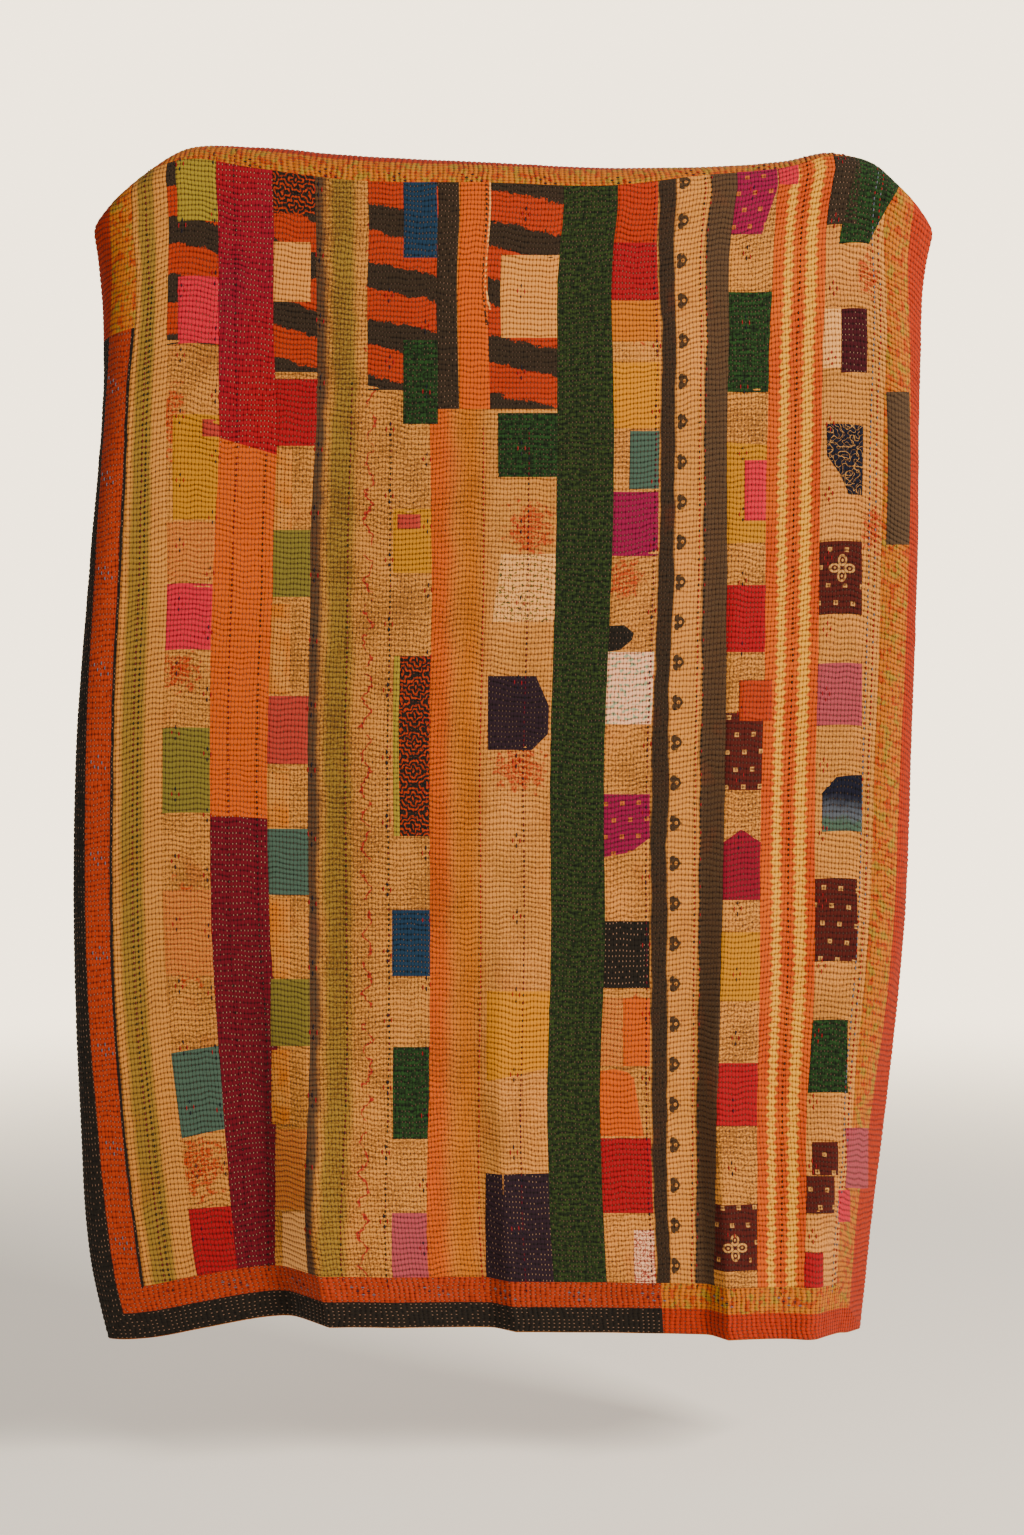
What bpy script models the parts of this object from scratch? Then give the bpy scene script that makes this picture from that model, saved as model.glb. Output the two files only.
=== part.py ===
"""A hand-stitched patchwork quilt of several thin cloth layers, hanging from its top edge.

The quilt is drawn flat and then hung. A flat place is given by "across", metres from the left edge,
and "down", metres from the top edge. hang() turns flat places into the hung form: the two top corners
fold back, the top edge rolls back, the side edges curl back, and upright folds deepen towards the hem.
Metres, +Z up, the face towards -Y. The origin is the crest of the top roll, half-way along it.
"""
import bmesh
import bpy
import numpy as np
from math import radians

# Driving sizes
WIDTH = 1.54
LENGTH = 2.10
CLOTH = 0.0024          # thickness between two ribs
RIB = 0.0012            # how far a stitched rib stands proud of the cloth
RIB_STEP = 0.020        # from the foot of a rib to its crest
SEAM = 0.0003           # clear gap between neighbouring pieces
BORDER = 0.087          # top, right and bottom border strips
LEFT_BORDER = 0.098
LEFT_JOIN = 0.363       # down: where the golden piece of the left border meets the black and rust one
HEM_JOIN = 1.054        # across: where the dark hem strip meets the golden one

# Spacing of the cut lines that the hung form bends along
CURL_ZONE = 0.100
CORNER_ZONE = 0.200
ROLL_ZONE = 0.200
WIDE_COLUMN = 0.095
TALL_ROW = 0.105

# The hung form, a row for each place along the top: how high the cloth would stand there if its top
# edge were not turned back, how far down the turn starts, the turn's radius, and the hem's height
TOP = np.array([
    # across  level   start   radius  hem
    (0.000,  0.026,  0.174,  0.026, -2.090),
    (0.090,  0.046,  0.138,  0.034, -2.084),
    (0.178,  0.067,  0.115,  0.050, -2.068),
    (0.304,  0.049,  0.098,  0.060, -2.047),
    (0.467,  0.027,  0.086,  0.056, -2.050),
    (0.720,  0.022,  0.097,  0.060, -2.064),
    (0.967,  0.020,  0.105,  0.060, -2.076),
    (1.117,  0.043,  0.125,  0.060, -2.079),
    (1.253,  0.058,  0.130,  0.060, -2.084),
    (1.343,  0.086,  0.140,  0.056, -2.090),
    (1.415,  0.080,  0.148,  0.046, -2.096),
    (1.450,  0.064,  0.156,  0.040, -2.100),
    (1.480,  0.050,  0.160,  0.034, -2.106),
    (1.540,  0.020,  0.174,  0.026, -2.112),
])
FULL_TURN = radians(174)

# Outline, a row for each height: where the two side edges stand
OUTLINE = np.array([
    # down    left     right
    (0.120, -0.768,  0.730),
    (0.220, -0.756,  0.707),
    (0.400, -0.748,  0.701),
    (0.750, -0.770,  0.696),
    (1.050, -0.792,  0.685),
    (1.350, -0.797,  0.674),
    (1.700, -0.784,  0.643),
    (2.000, -0.757,  0.621),
    (2.100, -0.732,  0.612),
])

# Side curls, a row for each height: width that turns back, length of its bend, and how far it turns
LEFT_CURL = np.array([
    # down    width   bend    turn
    (0.150,  0.100,  0.100,  45.0),
    (0.300,  0.105,  0.105,  82.0),
    (0.480,  0.108,  0.108, 104.0),
    (0.870,  0.074,  0.074,  96.0),
    (1.140,  0.064,  0.064,  90.0),
    (1.540,  0.056,  0.056,  80.0),
    (1.740,  0.050,  0.050,  66.0),
    (1.960,  0.050,  0.050,  46.0),
    (2.100,  0.050,  0.050,  40.0),
])
RIGHT_CURL = np.array([
    # down    width   bend    turn
    (0.150,  0.090,  0.090,  40.0),
    (0.300,  0.090,  0.090,  60.0),
    (0.500,  0.090,  0.090,  86.0),
    (0.900,  0.084,  0.084,  84.0),
    (1.350,  0.092,  0.080,  66.0),
    (1.650,  0.120,  0.060,  52.0),
    (1.950,  0.205,  0.045,  54.0),
    (2.100,  0.215,  0.040,  56.0),
])

# Upright folds: crest line, the widths of its left and right flanks, how far it stands forward at
# the hem, and the heights between which it grows
FOLDS = np.array([
    # crest   rise    fall    depth   from   full
    (0.440,  0.125,  0.420,  0.072,  1.30,  1.98),
    (0.560,  0.100,  0.160,  0.008,  0.25,  1.00),
    (0.785,  0.055,  0.230,  0.028,  1.00,  2.10),
    (1.183,  0.055,  0.150,  0.034,  0.30,  2.10),
])
CREST_SOFTNESS = 0.06   # part of a flank that rounds over its crest
RISE_EASE = 0.35        # part of a left flank that eases in at its foot
FALL_EASE = 0.50        # part of a right flank that eases out at its foot
STEEPEST = 0.9          # sine of the steepest flank

GRID = 0.0025           # step of the section table, across
GRID_DOWN = 0.02
OVERRUN = 0.06          # how far the section table reaches past the cloth
NUDGE = 0.0005          # step for the direction of the surface
CREST_SEARCH = 0.3      # the crest is looked for this far from the side edges
SHARP = radians(50)     # edges that turn more than this are shaded sharp

COLOURS = {
    "field": (0.55, 0.30, 0.11),
    "border_top": (0.58, 0.22, 0.04),
    "border_left_top": (0.58, 0.22, 0.04),
    "border_left": (0.16, 0.05, 0.02),
    "border_right": (0.62, 0.20, 0.05),
    "border_bottom_dark": (0.12, 0.04, 0.02),
    "border_bottom_gold": (0.58, 0.16, 0.05),
}
ROUGHNESS = 0.9


def ease(t):
    t = np.clip(t, 0.0, 1.0)
    return t * t * (3 - 2 * t)


def through(x, table, column):
    """A smooth curve through one column of a table whose first column is the place."""
    places, values = table[:, 0], table[:, column]
    slopes = np.gradient(values, places)
    row = np.clip(np.searchsorted(places, x) - 1, 0, len(places) - 2)
    span = places[row + 1] - places[row]
    t = np.clip((x - places[row]) / span, 0.0, 1.0)
    start = values[row] * (1 + 2 * t) * (1 - t) ** 2 + slopes[row] * span * t * (1 - t) ** 2
    end = values[row + 1] * t * t * (3 - 2 * t) + slopes[row + 1] * span * t * t * (t - 1)
    return start + end


def fold_slope(across, down):
    """How steeply the upright folds carry the cloth backwards, going to the right."""
    slope = np.zeros_like(across + down)
    for crest, rise, fall, depth, start, full in FOLDS:
        grown = ease((down - start) / (full - start)) * depth
        place = across - crest
        rising = ease((place + rise) / (rise * RISE_EASE)) * ease(-place / (rise * CREST_SOFTNESS) + 0.5)
        falling = ease((fall - place) / (fall * FALL_EASE)) * ease(place / (rise * CREST_SOFTNESS) + 0.5)
        slope = slope + grown * (falling / (fall * (1 - FALL_EASE / 2)) - rising / (rise * (1 - RISE_EASE / 2)))
    return slope


def heading(across, down):
    """Direction of the level section: 0 runs to the right, and a positive angle runs to the back."""
    left = ease_free(through(down, LEFT_CURL, 1) - across, through(down, LEFT_CURL, 2))
    right = ease_free(across - WIDTH + through(down, RIGHT_CURL, 1), through(down, RIGHT_CURL, 2))
    turn = right * through(down, RIGHT_CURL, 3) - left * through(down, LEFT_CURL, 3)
    return np.radians(turn) + np.arcsin(np.clip(fold_slope(across, down), -STEEPEST, STEEPEST))


def ease_free(distance, bend):
    """The part of a curl's turn that is done at a distance past its start."""
    return np.clip(distance / bend, 0.0, 1.0)


def section_table():
    """Level sections of the hung cloth, each as long as the flat cloth is wide."""
    across = np.arange(-OVERRUN, WIDTH + OVERRUN, GRID)
    down = np.arange(-OVERRUN, LENGTH + OVERRUN, GRID_DOWN)
    angle = heading(across[None, :], down[:, None])
    x = np.cumsum(np.cos(angle), axis=1) * GRID
    y = np.cumsum(np.sin(angle), axis=1) * GRID
    inside = (across >= 0) & (across <= WIDTH)
    low = x[:, inside].min(axis=1, keepdims=True)
    high = x[:, inside].max(axis=1, keepdims=True)
    left = through(down, OUTLINE, 1)[:, None]
    right = through(down, OUTLINE, 2)[:, None]
    x = left + (right - left) * (x - low) / (high - low)
    flat_part = (across > CORNER_ZONE) & (across < FOLDS[0, 0] - FOLDS[0, 1])
    return x, y - y[:, flat_part].mean(axis=1, keepdims=True)


SECTION_X, SECTION_Y = section_table()


def read(table, across, down):
    column = np.clip((across + OVERRUN) / GRID, 0, table.shape[1] - 1.001)
    row = np.clip((down + OVERRUN) / GRID_DOWN, 0, table.shape[0] - 1.001)
    i, j = row.astype(int), column.astype(int)
    a, b = row - i, column - j
    near = table[i, j] * (1 - b) + table[i, j + 1] * b
    far = table[i + 1, j] * (1 - b) + table[i + 1, j + 1] * b
    return near * (1 - a) + far * a


def upright_point(across, down):
    """The hung face, before its top edge turns back."""
    level, hem = through(across, TOP, 1), through(across, TOP, 4)
    z = level - (level - hem) * down / LENGTH
    return np.stack([read(SECTION_X, across, down), read(SECTION_Y, across, down), z], axis=-1)


def turn_back(across, down, depth):
    """Turns the cloth above the start line to the back, square to the line along the top of the turn.

    depth is the distance behind the face, before and after.
    """
    start, radius = through(across, TOP, 2), through(across, TOP, 3)
    ahead = through(across + NUDGE, TOP, 2) - through(across + NUDGE, TOP, 3)
    behind = through(across - NUDGE, TOP, 2) - through(across - NUDGE, TOP, 3)
    slope = (ahead - behind) / (2 * NUDGE)
    length = np.sqrt(1 + slope ** 2)
    past = np.maximum(start - down, 0.0) / length
    angle = np.minimum(past / radius, FULL_TURN)
    straight = past - angle * radius
    reach = (radius - depth) * np.sin(angle) + straight * np.cos(angle)
    moved = np.where(past > 0, reach - past, 0.0)
    depth = np.where(past > 0, radius - (radius - depth) * np.cos(angle) + straight * np.sin(angle), depth)
    return across + moved * slope / length, down - moved / length, depth


def hang(across, down, depth):
    """Hung places of flat ones. depth is the distance behind the face."""
    across, down, depth = turn_back(across, down, depth)
    sideways = upright_point(across + NUDGE, down) - upright_point(across - NUDGE, down)
    downwards = upright_point(across, down + NUDGE) - upright_point(across, down - NUDGE)
    back = np.cross(sideways, downwards)
    back = back / np.linalg.norm(back, axis=-1, keepdims=True)
    return upright_point(across, down) + back * depth[..., None] - CREST


def crest_point():
    """The highest place of the top turn where the cloth crosses x = 0."""
    across = np.arange(CREST_SEARCH, WIDTH - CREST_SEARCH, NUDGE)
    middle = across[np.argmin(np.abs(upright_point(across, np.full_like(across, BORDER))[:, 0]))]
    roll = np.arange(0.0, ROLL_ZONE, NUDGE)
    points = hang(np.full_like(roll, middle), roll, np.zeros_like(roll))
    top = points[np.argmax(points[:, 2])]
    return np.array([0.0, top[1], top[2]])


CREST = np.zeros(3)
CREST = crest_point()


def spread(lines, widest):
    """Cut lines through the given places, with more between them where they lie too far apart."""
    lines = sorted(lines)
    full = [lines[0]]
    for line in lines[1:]:
        parts = max(1, int(np.ceil((line - full[-1]) / widest - 1e-6)))
        full += list(np.linspace(full[-1], line, parts + 1)[1:])
    return full


def steps(start, end, step):
    return [start + step * i for i in range(1, int(round((end - start) / step)))]


def inset(corners, sewn):
    """Moves the sewn edges of a four-cornered outline in by half a seam gap."""
    points = [np.array(c) for c in corners]
    centre = sum(points) / 4
    edges = []
    for i in range(4):
        a, b = points[i], points[(i + 1) % 4]
        direction = (b - a) / np.linalg.norm(b - a)
        inward = np.array([-direction[1], direction[0]])
        if np.dot(centre - a, inward) < 0:
            inward = -inward
        edges.append((a + inward * (SEAM / 2 if sewn[i] else 0.0), direction))
    moved = []
    for i in range(4):
        (a, v), (b, w) = edges[i - 1], edges[i]
        t = np.linalg.solve(np.array([v, -w]).T, b - a)[0]
        moved.append(a + v * t)
    return moved


def blank(corners):
    """A flat four-cornered slab. Its corners run left top, right top, right bottom, left bottom."""
    slab = bmesh.new()
    bmesh.ops.create_cube(slab, size=1.0)
    lt, rt, rb, lb = corners
    for vert in slab.verts:
        right, low = vert.co.x > 0, vert.co.z < 0
        across, down = (rb if right else lb) if low else (rt if right else lt)
        vert.co = (across, CLOTH if vert.co.y > 0 else 0.0, -down)
    return slab


def cut(slab, lines, axis, wanted):
    """Cuts the wanted faces along lines of equal across (axis 0) or equal down (axis 2)."""
    normal = (1, 0, 0) if axis == 0 else (0, 0, 1)
    for line in lines:
        place = (line, 0, 0) if axis == 0 else (0, 0, -line)
        faces = [f for f in slab.faces if wanted(f)]
        edges = {e for f in faces for e in f.edges}
        verts = {v for f in faces for v in f.verts}
        bmesh.ops.bisect_plane(slab, geom=faces + list(edges) + list(verts), dist=1e-5,
                               plane_co=place, plane_no=normal)


def everywhere(face):
    return True


def in_front(face):
    return face.normal.y < -0.5


def in_corner(face):
    middle = face.calc_center_median()
    return -middle.z < ROLL_ZONE and (middle.x < CORNER_ZONE or middle.x > WIDTH - CORNER_ZONE)


def split_quads(slab):
    """Splits each four-sided face along the diagonal that runs with its corner's fold line."""
    for face in [f for f in slab.faces if len(f.verts) == 4 and abs(f.normal.y) > 0.5]:
        slant = 1 if face.calc_center_median().x < WIDTH / 2 else -1
        first = max(face.verts, key=lambda v: v.co.x * slant + v.co.z)
        last = min(face.verts, key=lambda v: v.co.x * slant + v.co.z)
        if not any(e.other_vert(first) is last for e in first.link_edges):
            bmesh.utils.face_split(face, first, last)


def raise_ribs(slab, axis, low, high):
    """Lifts every other cut line of the front, between the limits where ribs are wanted."""
    for vert in slab.verts:
        place = vert.co.x if axis == 0 else -vert.co.z
        count = round(place / RIB_STEP)
        on_line = abs(place - count * RIB_STEP) < 1e-4
        if vert.co.y < 1e-6 and on_line and count % 2 and low < place < high:
            vert.co.y = -RIB


def hang_flats(across, down, depth):
    """Hung places with a straight run between neighbouring cut lines, so that sewn pieces match."""
    hung = np.zeros((len(across), 3))
    upper = down < ROLL_ZONE
    for rows, lines in ((upper, upright_lines() + CORNER_COLUMNS), (~upper, upright_lines())):
        lines = np.array(sorted([0.0] + lines + [WIDTH]))
        after = np.clip(np.searchsorted(lines, across[rows]), 1, len(lines) - 1)
        left, right = lines[after - 1], lines[after]
        part = ((across[rows] - left) / (right - left))[:, None]
        hung[rows] = (hang(left, down[rows], depth[rows]) * (1 - part)
                      + hang(right, down[rows], depth[rows]) * part)
    return hung


def finish(name, slab):
    """Hangs a flat slab and makes its object, with its own material."""
    flat = np.array([v.co for v in slab.verts])
    for vert, place in zip(slab.verts, hang_flats(flat[:, 0], -flat[:, 2], flat[:, 1])):
        vert.co = place
    slab.normal_update()
    bmesh.ops.triangulate(slab, faces=[f for f in slab.faces if len(f.verts) > 3])
    mesh = bpy.data.meshes.new(name)
    slab.to_mesh(mesh)
    slab.free()
    mesh.shade_smooth()
    mesh.set_sharp_from_angle(angle=SHARP)
    material = bpy.data.materials.new(name)
    material.use_nodes = True
    shader = material.node_tree.nodes["Principled BSDF"]
    shader.inputs["Base Color"].default_value = (*COLOURS[name], 1.0)
    shader.inputs["Roughness"].default_value = ROUGHNESS
    shader.inputs["Metallic"].default_value = 0.0
    mesh.materials.append(material)
    piece = bpy.data.objects.new(name, mesh)
    bpy.data.collections["quilt"].objects.link(piece)


def upright_lines():
    """Cut lines down the cloth: the curls' and knees' fine ones, and the folds' crests and feet."""
    curls = steps(0.0, CURL_ZONE + RIB_STEP, RIB_STEP)
    curls += [WIDTH - line for line in curls]
    knee = [WIDTH - RIGHT_CURL[-1, 1] + step for step in (0.0, 0.025, 0.05, 0.075)]
    crests = [line for fold in FOLDS for line in (fold[0] - fold[1], fold[0])]
    spaced = spread([0.0] + curls + knee + crests + [WIDTH], WIDE_COLUMN)
    return [line for line in spaced if 0.0 < line < WIDTH]


def level_lines():
    """Cut lines across the cloth, fine in the top roll and wide below it."""
    return steps(0.0, ROLL_ZONE, RIB_STEP) + spread([ROLL_ZONE, LENGTH - BORDER], TALL_ROW)


CORNER_COLUMNS = steps(CURL_ZONE, CORNER_ZONE + RIB_STEP, RIB_STEP)
CORNER_COLUMNS += [WIDTH - line for line in CORNER_COLUMNS]
RIB_LINES_DOWN = steps(0.0, LENGTH, RIB_STEP)
RIB_LINES_ACROSS = steps(0.0, WIDTH, RIB_STEP)


def level_ribbed(name, corners, sewn):
    """A piece whose upright stitch rows raise level ribs."""
    slab = blank(inset(corners, sewn))
    cut(slab, upright_lines(), 0, everywhere)
    cut(slab, level_lines(), 2, everywhere)
    cut(slab, CORNER_COLUMNS, 0, in_corner)
    cut(slab, RIB_LINES_DOWN, 2, in_front)
    split_quads(slab)
    raise_ribs(slab, 2, BORDER + RIB_STEP, LENGTH - BORDER - SEAM)
    finish(name, slab)


def upright_ribbed(name, corners, sewn):
    """A border strip whose level stitch rows raise upright ribs."""
    slab = blank(inset(corners, sewn))
    cut(slab, upright_lines(), 0, everywhere)
    cut(slab, level_lines() + [LENGTH - BORDER / 2], 2, everywhere)
    cut(slab, CORNER_COLUMNS, 0, in_corner)
    cut(slab, RIB_LINES_ACROSS, 0, in_front)
    split_quads(slab)
    low = min(c[0] for c in corners)
    high = max(c[0] for c in corners)
    raise_ribs(slab, 0, low + CORNER_ZONE, high - CORNER_ZONE)
    finish(name, slab)


def field():
    inner_bottom = LENGTH - BORDER
    corners = ((LEFT_BORDER, BORDER), (WIDTH - BORDER, BORDER),
               (WIDTH - BORDER, inner_bottom), (LEFT_BORDER, inner_bottom))
    level_ribbed("field", corners, (True, True, True, True))


def border_top():
    corners = ((0.0, 0.0), (WIDTH, 0.0), (WIDTH - BORDER, BORDER), (LEFT_BORDER, BORDER))
    upright_ribbed("border_top", corners, (False, True, True, True))


def border_left_top():
    corners = ((0.0, 0.0), (LEFT_BORDER, BORDER), (LEFT_BORDER, LEFT_JOIN), (0.0, LEFT_JOIN))
    level_ribbed("border_left_top", corners, (True, True, True, False))


def border_left():
    corners = ((0.0, LEFT_JOIN), (LEFT_BORDER, LEFT_JOIN), (LEFT_BORDER, LENGTH - BORDER), (0.0, LENGTH))
    level_ribbed("border_left", corners, (True, True, True, False))


def border_right():
    corners = ((WIDTH - BORDER, BORDER), (WIDTH, 0.0), (WIDTH, LENGTH), (WIDTH - BORDER, LENGTH - BORDER))
    level_ribbed("border_right", corners, (True, False, True, True))


def border_bottom_dark():
    corners = ((LEFT_BORDER, LENGTH - BORDER), (HEM_JOIN, LENGTH - BORDER), (HEM_JOIN, LENGTH), (0.0, LENGTH))
    upright_ribbed("border_bottom_dark", corners, (True, True, False, True))


def border_bottom_gold():
    corners = ((HEM_JOIN, LENGTH - BORDER), (WIDTH - BORDER, LENGTH - BORDER), (WIDTH, LENGTH),
               (HEM_JOIN, LENGTH))
    upright_ribbed("border_bottom_gold", corners, (True, True, False, True))


def main():
    for thing in list(bpy.data.objects):
        bpy.data.objects.remove(thing, do_unlink=True)
    quilt = bpy.data.collections.new("quilt")
    bpy.context.scene.collection.children.link(quilt)
    field()
    border_top()
    border_left_top()
    border_left()
    border_right()
    border_bottom_dark()
    border_bottom_gold()


main()
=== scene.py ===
"""A hand-stitched patchwork quilt hung by its top edge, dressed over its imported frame.

The quilt is laid out flat and then hung. A flat place is given by "across", metres from the left edge,
and "down", metres from the top edge. hang() turns flat places into the hung form of the frame. Seams,
patches and stitched motifs are charted as places on the photograph, in photo pixels, and flat_at() finds
the flat place that shows there.
"""
from math import radians

import bpy
import numpy as np
from mathutils import Matrix


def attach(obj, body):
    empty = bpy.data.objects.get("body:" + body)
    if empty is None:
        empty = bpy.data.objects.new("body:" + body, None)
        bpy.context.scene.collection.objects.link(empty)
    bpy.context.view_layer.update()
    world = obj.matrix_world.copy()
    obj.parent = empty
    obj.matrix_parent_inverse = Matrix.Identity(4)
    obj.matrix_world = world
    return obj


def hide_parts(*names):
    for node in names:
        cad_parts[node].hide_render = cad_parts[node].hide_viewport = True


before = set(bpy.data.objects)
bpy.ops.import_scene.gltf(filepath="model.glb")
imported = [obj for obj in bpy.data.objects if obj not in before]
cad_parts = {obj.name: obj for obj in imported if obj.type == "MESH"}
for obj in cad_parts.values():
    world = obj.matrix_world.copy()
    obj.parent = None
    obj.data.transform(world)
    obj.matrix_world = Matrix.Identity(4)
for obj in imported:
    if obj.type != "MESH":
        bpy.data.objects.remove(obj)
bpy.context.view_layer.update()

bl_info = {
    "name": "Patchwork Quilt",
    "version": (1, 0, 0),
    "blender": (4, 5, 0),
    "location": "View3D > Sidebar > Quilt",
    "description": "Makes the strips, patches, borders and stitches of a hung patchwork quilt",
    "category": "Object",
}

# Flat sizes, metres
WIDTH = 1.54
LENGTH = 2.10
BORDER = 0.087
LEFT_BORDER = 0.098
LEFT_JOIN = 0.363       # down: where the golden piece of the left border meets the black and rust one
HEM_JOIN = 1.054        # across: where the dark hem strip meets the golden one

# The hung form, a row for each place along the top: how high the cloth would stand there if its top
# edge were not turned back, how far down the turn starts, the turn's radius, and the hem's height
TOP = np.array([
    # across  level   start   radius  hem
    (0.000,  0.026,  0.174,  0.026, -2.090),
    (0.090,  0.046,  0.138,  0.034, -2.084),
    (0.178,  0.067,  0.115,  0.050, -2.068),
    (0.304,  0.049,  0.098,  0.060, -2.047),
    (0.467,  0.027,  0.086,  0.056, -2.050),
    (0.720,  0.022,  0.097,  0.060, -2.064),
    (0.967,  0.020,  0.105,  0.060, -2.076),
    (1.117,  0.043,  0.125,  0.060, -2.079),
    (1.253,  0.058,  0.130,  0.060, -2.084),
    (1.343,  0.086,  0.140,  0.056, -2.090),
    (1.415,  0.080,  0.148,  0.046, -2.096),
    (1.450,  0.064,  0.156,  0.040, -2.100),
    (1.480,  0.050,  0.160,  0.034, -2.106),
    (1.540,  0.020,  0.174,  0.026, -2.112),
])
FULL_TURN = radians(174)
OUTLINE = np.array([
    # down    left     right
    (0.120, -0.768,  0.730),
    (0.220, -0.756,  0.707),
    (0.400, -0.748,  0.701),
    (0.750, -0.770,  0.696),
    (1.050, -0.792,  0.685),
    (1.350, -0.797,  0.674),
    (1.700, -0.784,  0.643),
    (2.000, -0.757,  0.621),
    (2.100, -0.732,  0.612),
])
# Side curls: width that turns back, length of its bend, and how far it turns
LEFT_CURL = np.array([
    # down    width   bend    turn
    (0.150,  0.100,  0.100,  45.0),
    (0.300,  0.105,  0.105,  82.0),
    (0.480,  0.108,  0.108, 104.0),
    (0.870,  0.074,  0.074,  96.0),
    (1.140,  0.064,  0.064,  90.0),
    (1.540,  0.056,  0.056,  80.0),
    (1.740,  0.050,  0.050,  66.0),
    (1.960,  0.050,  0.050,  46.0),
    (2.100,  0.050,  0.050,  40.0),
])
RIGHT_CURL = np.array([
    (0.150,  0.090,  0.090,  40.0),
    (0.300,  0.090,  0.090,  60.0),
    (0.500,  0.090,  0.090,  86.0),
    (0.900,  0.084,  0.084,  84.0),
    (1.350,  0.092,  0.080,  66.0),
    (1.650,  0.120,  0.060,  52.0),
    (1.950,  0.205,  0.045,  54.0),
    (2.100,  0.215,  0.040,  56.0),
])
# Upright folds: crest line, the widths of its left and right flanks, how far it stands forward at
# the hem, and the heights between which it grows
FOLDS = np.array([
    # crest   rise    fall    depth   from   full
    (0.440,  0.125,  0.420,  0.072,  1.30,  1.98),
    (0.560,  0.100,  0.160,  0.008,  0.25,  1.00),
    (0.785,  0.055,  0.230,  0.028,  1.00,  2.10),
    (1.183,  0.055,  0.150,  0.034,  0.30,  2.10),
])
CREST_SOFTNESS = 0.06
RISE_EASE = 0.35
FALL_EASE = 0.50
STEEPEST = 0.9
CORNER_ZONE = 0.200
GRID = 0.0025
GRID_DOWN = 0.02
OVERRUN = 0.06
NUDGE = 0.0005
CREST_SEARCH = 0.3
ROLL_ZONE = 0.200

# The stitched relief
PITCH = 0.0094          # from one stitched ridge to the next
ROW_GAP = 0.0063        # between two rows of running stitches
RIDGE = 0.0015          # height of a ridge over its grooves
GROOVE = 0.0004         # how deep a groove lies behind the face
LINES_A_RIDGE = 4       # mesh lines from one ridge to the next
COLUMN = 0.008          # mesh step along a ridge
HIDDEN_STEPS = (2, 4)   # the hidden side has these steps in mesh lines, along a ridge and over ridges
BACKING_LINES = 2       # the same three for the backing
BACKING_COLUMN = 0.0105
BACKING_STEPS = (1, 3)
PATCH_LIFT = 0.0006
TURNED_EDGE = 0.0014    # width of a patch's turned-in edge
HAIR = 0.00002          # least gap between two mesh lines
SUNK_RIM = 0.00025      # how much deeper the sewn rim of a strip lies
RAISED_RIM = 0.0001     # how far the rim of a patch stands over the cloth under it
HEM_SHOWN = 0.0018      # how far the backing shows below the hem
STRIP_BACK = 0.0015     # depth of the strips' backs, behind the face
BACKING_FRONT = 0.0018
BACKING_BACK = 0.0026
BACK_RELIEF = 0.6       # height of the ridges on the back, as a share of those on the face
PATCH_BACK = 0.0008     # depth of the patches' backs, behind the face
INSET_BACK = 0.0002     # the same for the small patches on other patches
ZEBRA_LIFT = 0.4        # how far the zebra cloths stand forward, in patch lifts
INSET_LIFT = 2.3        # the same for the small patches on other patches
ZEBRA_PITCH = 0.1006
ZEBRA_SLOPE = 0.18
SNUG = 0.009            # a patch's side that comes this near to a seam is sewn into it
SNUG_TO_BORDER = 0.026
WAVER = 0.0006          # how far a hand-sewn seam strays
SHARP = radians(50)     # mesh edges that bend by more than this look sharp

# The camera, and the photograph's frame
PHOTO_WIDTH = 1024
PHOTO_HEIGHT = 1535
PHOTO_SCALE = 0.00175   # metres for each photo pixel, on the plane of the front faces
CAMERA_DISTANCE = 3.73  # from that plane
CAMERA = (-0.02275, -3.790, -1.070)
SENSOR = 36.0

DYE_DEPTH = 1.25
DYES = {
    "tan": "#C68E46",
    "peach": "#D0944C",
    "cream": "#DEA868",
    "olive": "#967A34",
    "moss": "#7E7434",
    "lime": "#9C8A34",
    "brown": "#6A4322",
    "grey_brown": "#5C4936",
    "charcoal": "#3E3225",
    "black": "#2A241D",
    "rust": "#A8421A",
    "red_orange": "#AE3C0A",
    "orange": "#C46200",
    "amber": "#BE761A",
    "mustard": "#B88400",
    "yellow": "#C68A00",
    "pale_yellow": "#DCA42C",
    "crimson": "#861032",
    "maroon": "#700C26",
    "wine": "#4E1420",
    "red": "#9E0E22",
    "pink": "#C02C44",
    "hot_pink": "#C42A42",
    "salmon": "#AA4438",
    "magenta": "#8E124C",
    "mauve": "#A4505A",
    "blue": "#1F3F58",
    "teal": "#50665A",
    "green": "#2E5228",
    "dark_green": "#1F2D17",
    "leaf": "#3E4F26",
    "navy": "#1B1D33",
    "purple": "#34222E",
    "blush": "#E8B795",
    "thread": "#E3B79A",
    "blue_grey": "#6F7782",
    "bark": "#5A2118",
    "straw": "#C79A5C",
    "mint": "#8DA78B",
}


def linear(code):
    """A linear colour from a six-figure colour code as it shows on the photograph. The depth makes up for
    the paleness that the light and the picture's tone curve add."""
    parts = [int(code[i:i + 2], 16) / 255 for i in (1, 3, 5)]
    return tuple((c / 12.92 if c <= 0.04045 else ((c + 0.055) / 1.055) ** 2.4) ** DYE_DEPTH for c in parts)


class QuiltDyes(bpy.types.PropertyGroup):
    """The colours of the cloths and threads."""
    __annotations__ = {
        name: bpy.props.FloatVectorProperty(
            name=name.replace("_", " ").capitalize(), description="Colour of this cloth or thread",
            default=linear(code), size=3, min=0.0, max=1.0, subtype="COLOR")
        for name, code in DYES.items()
    }


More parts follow.
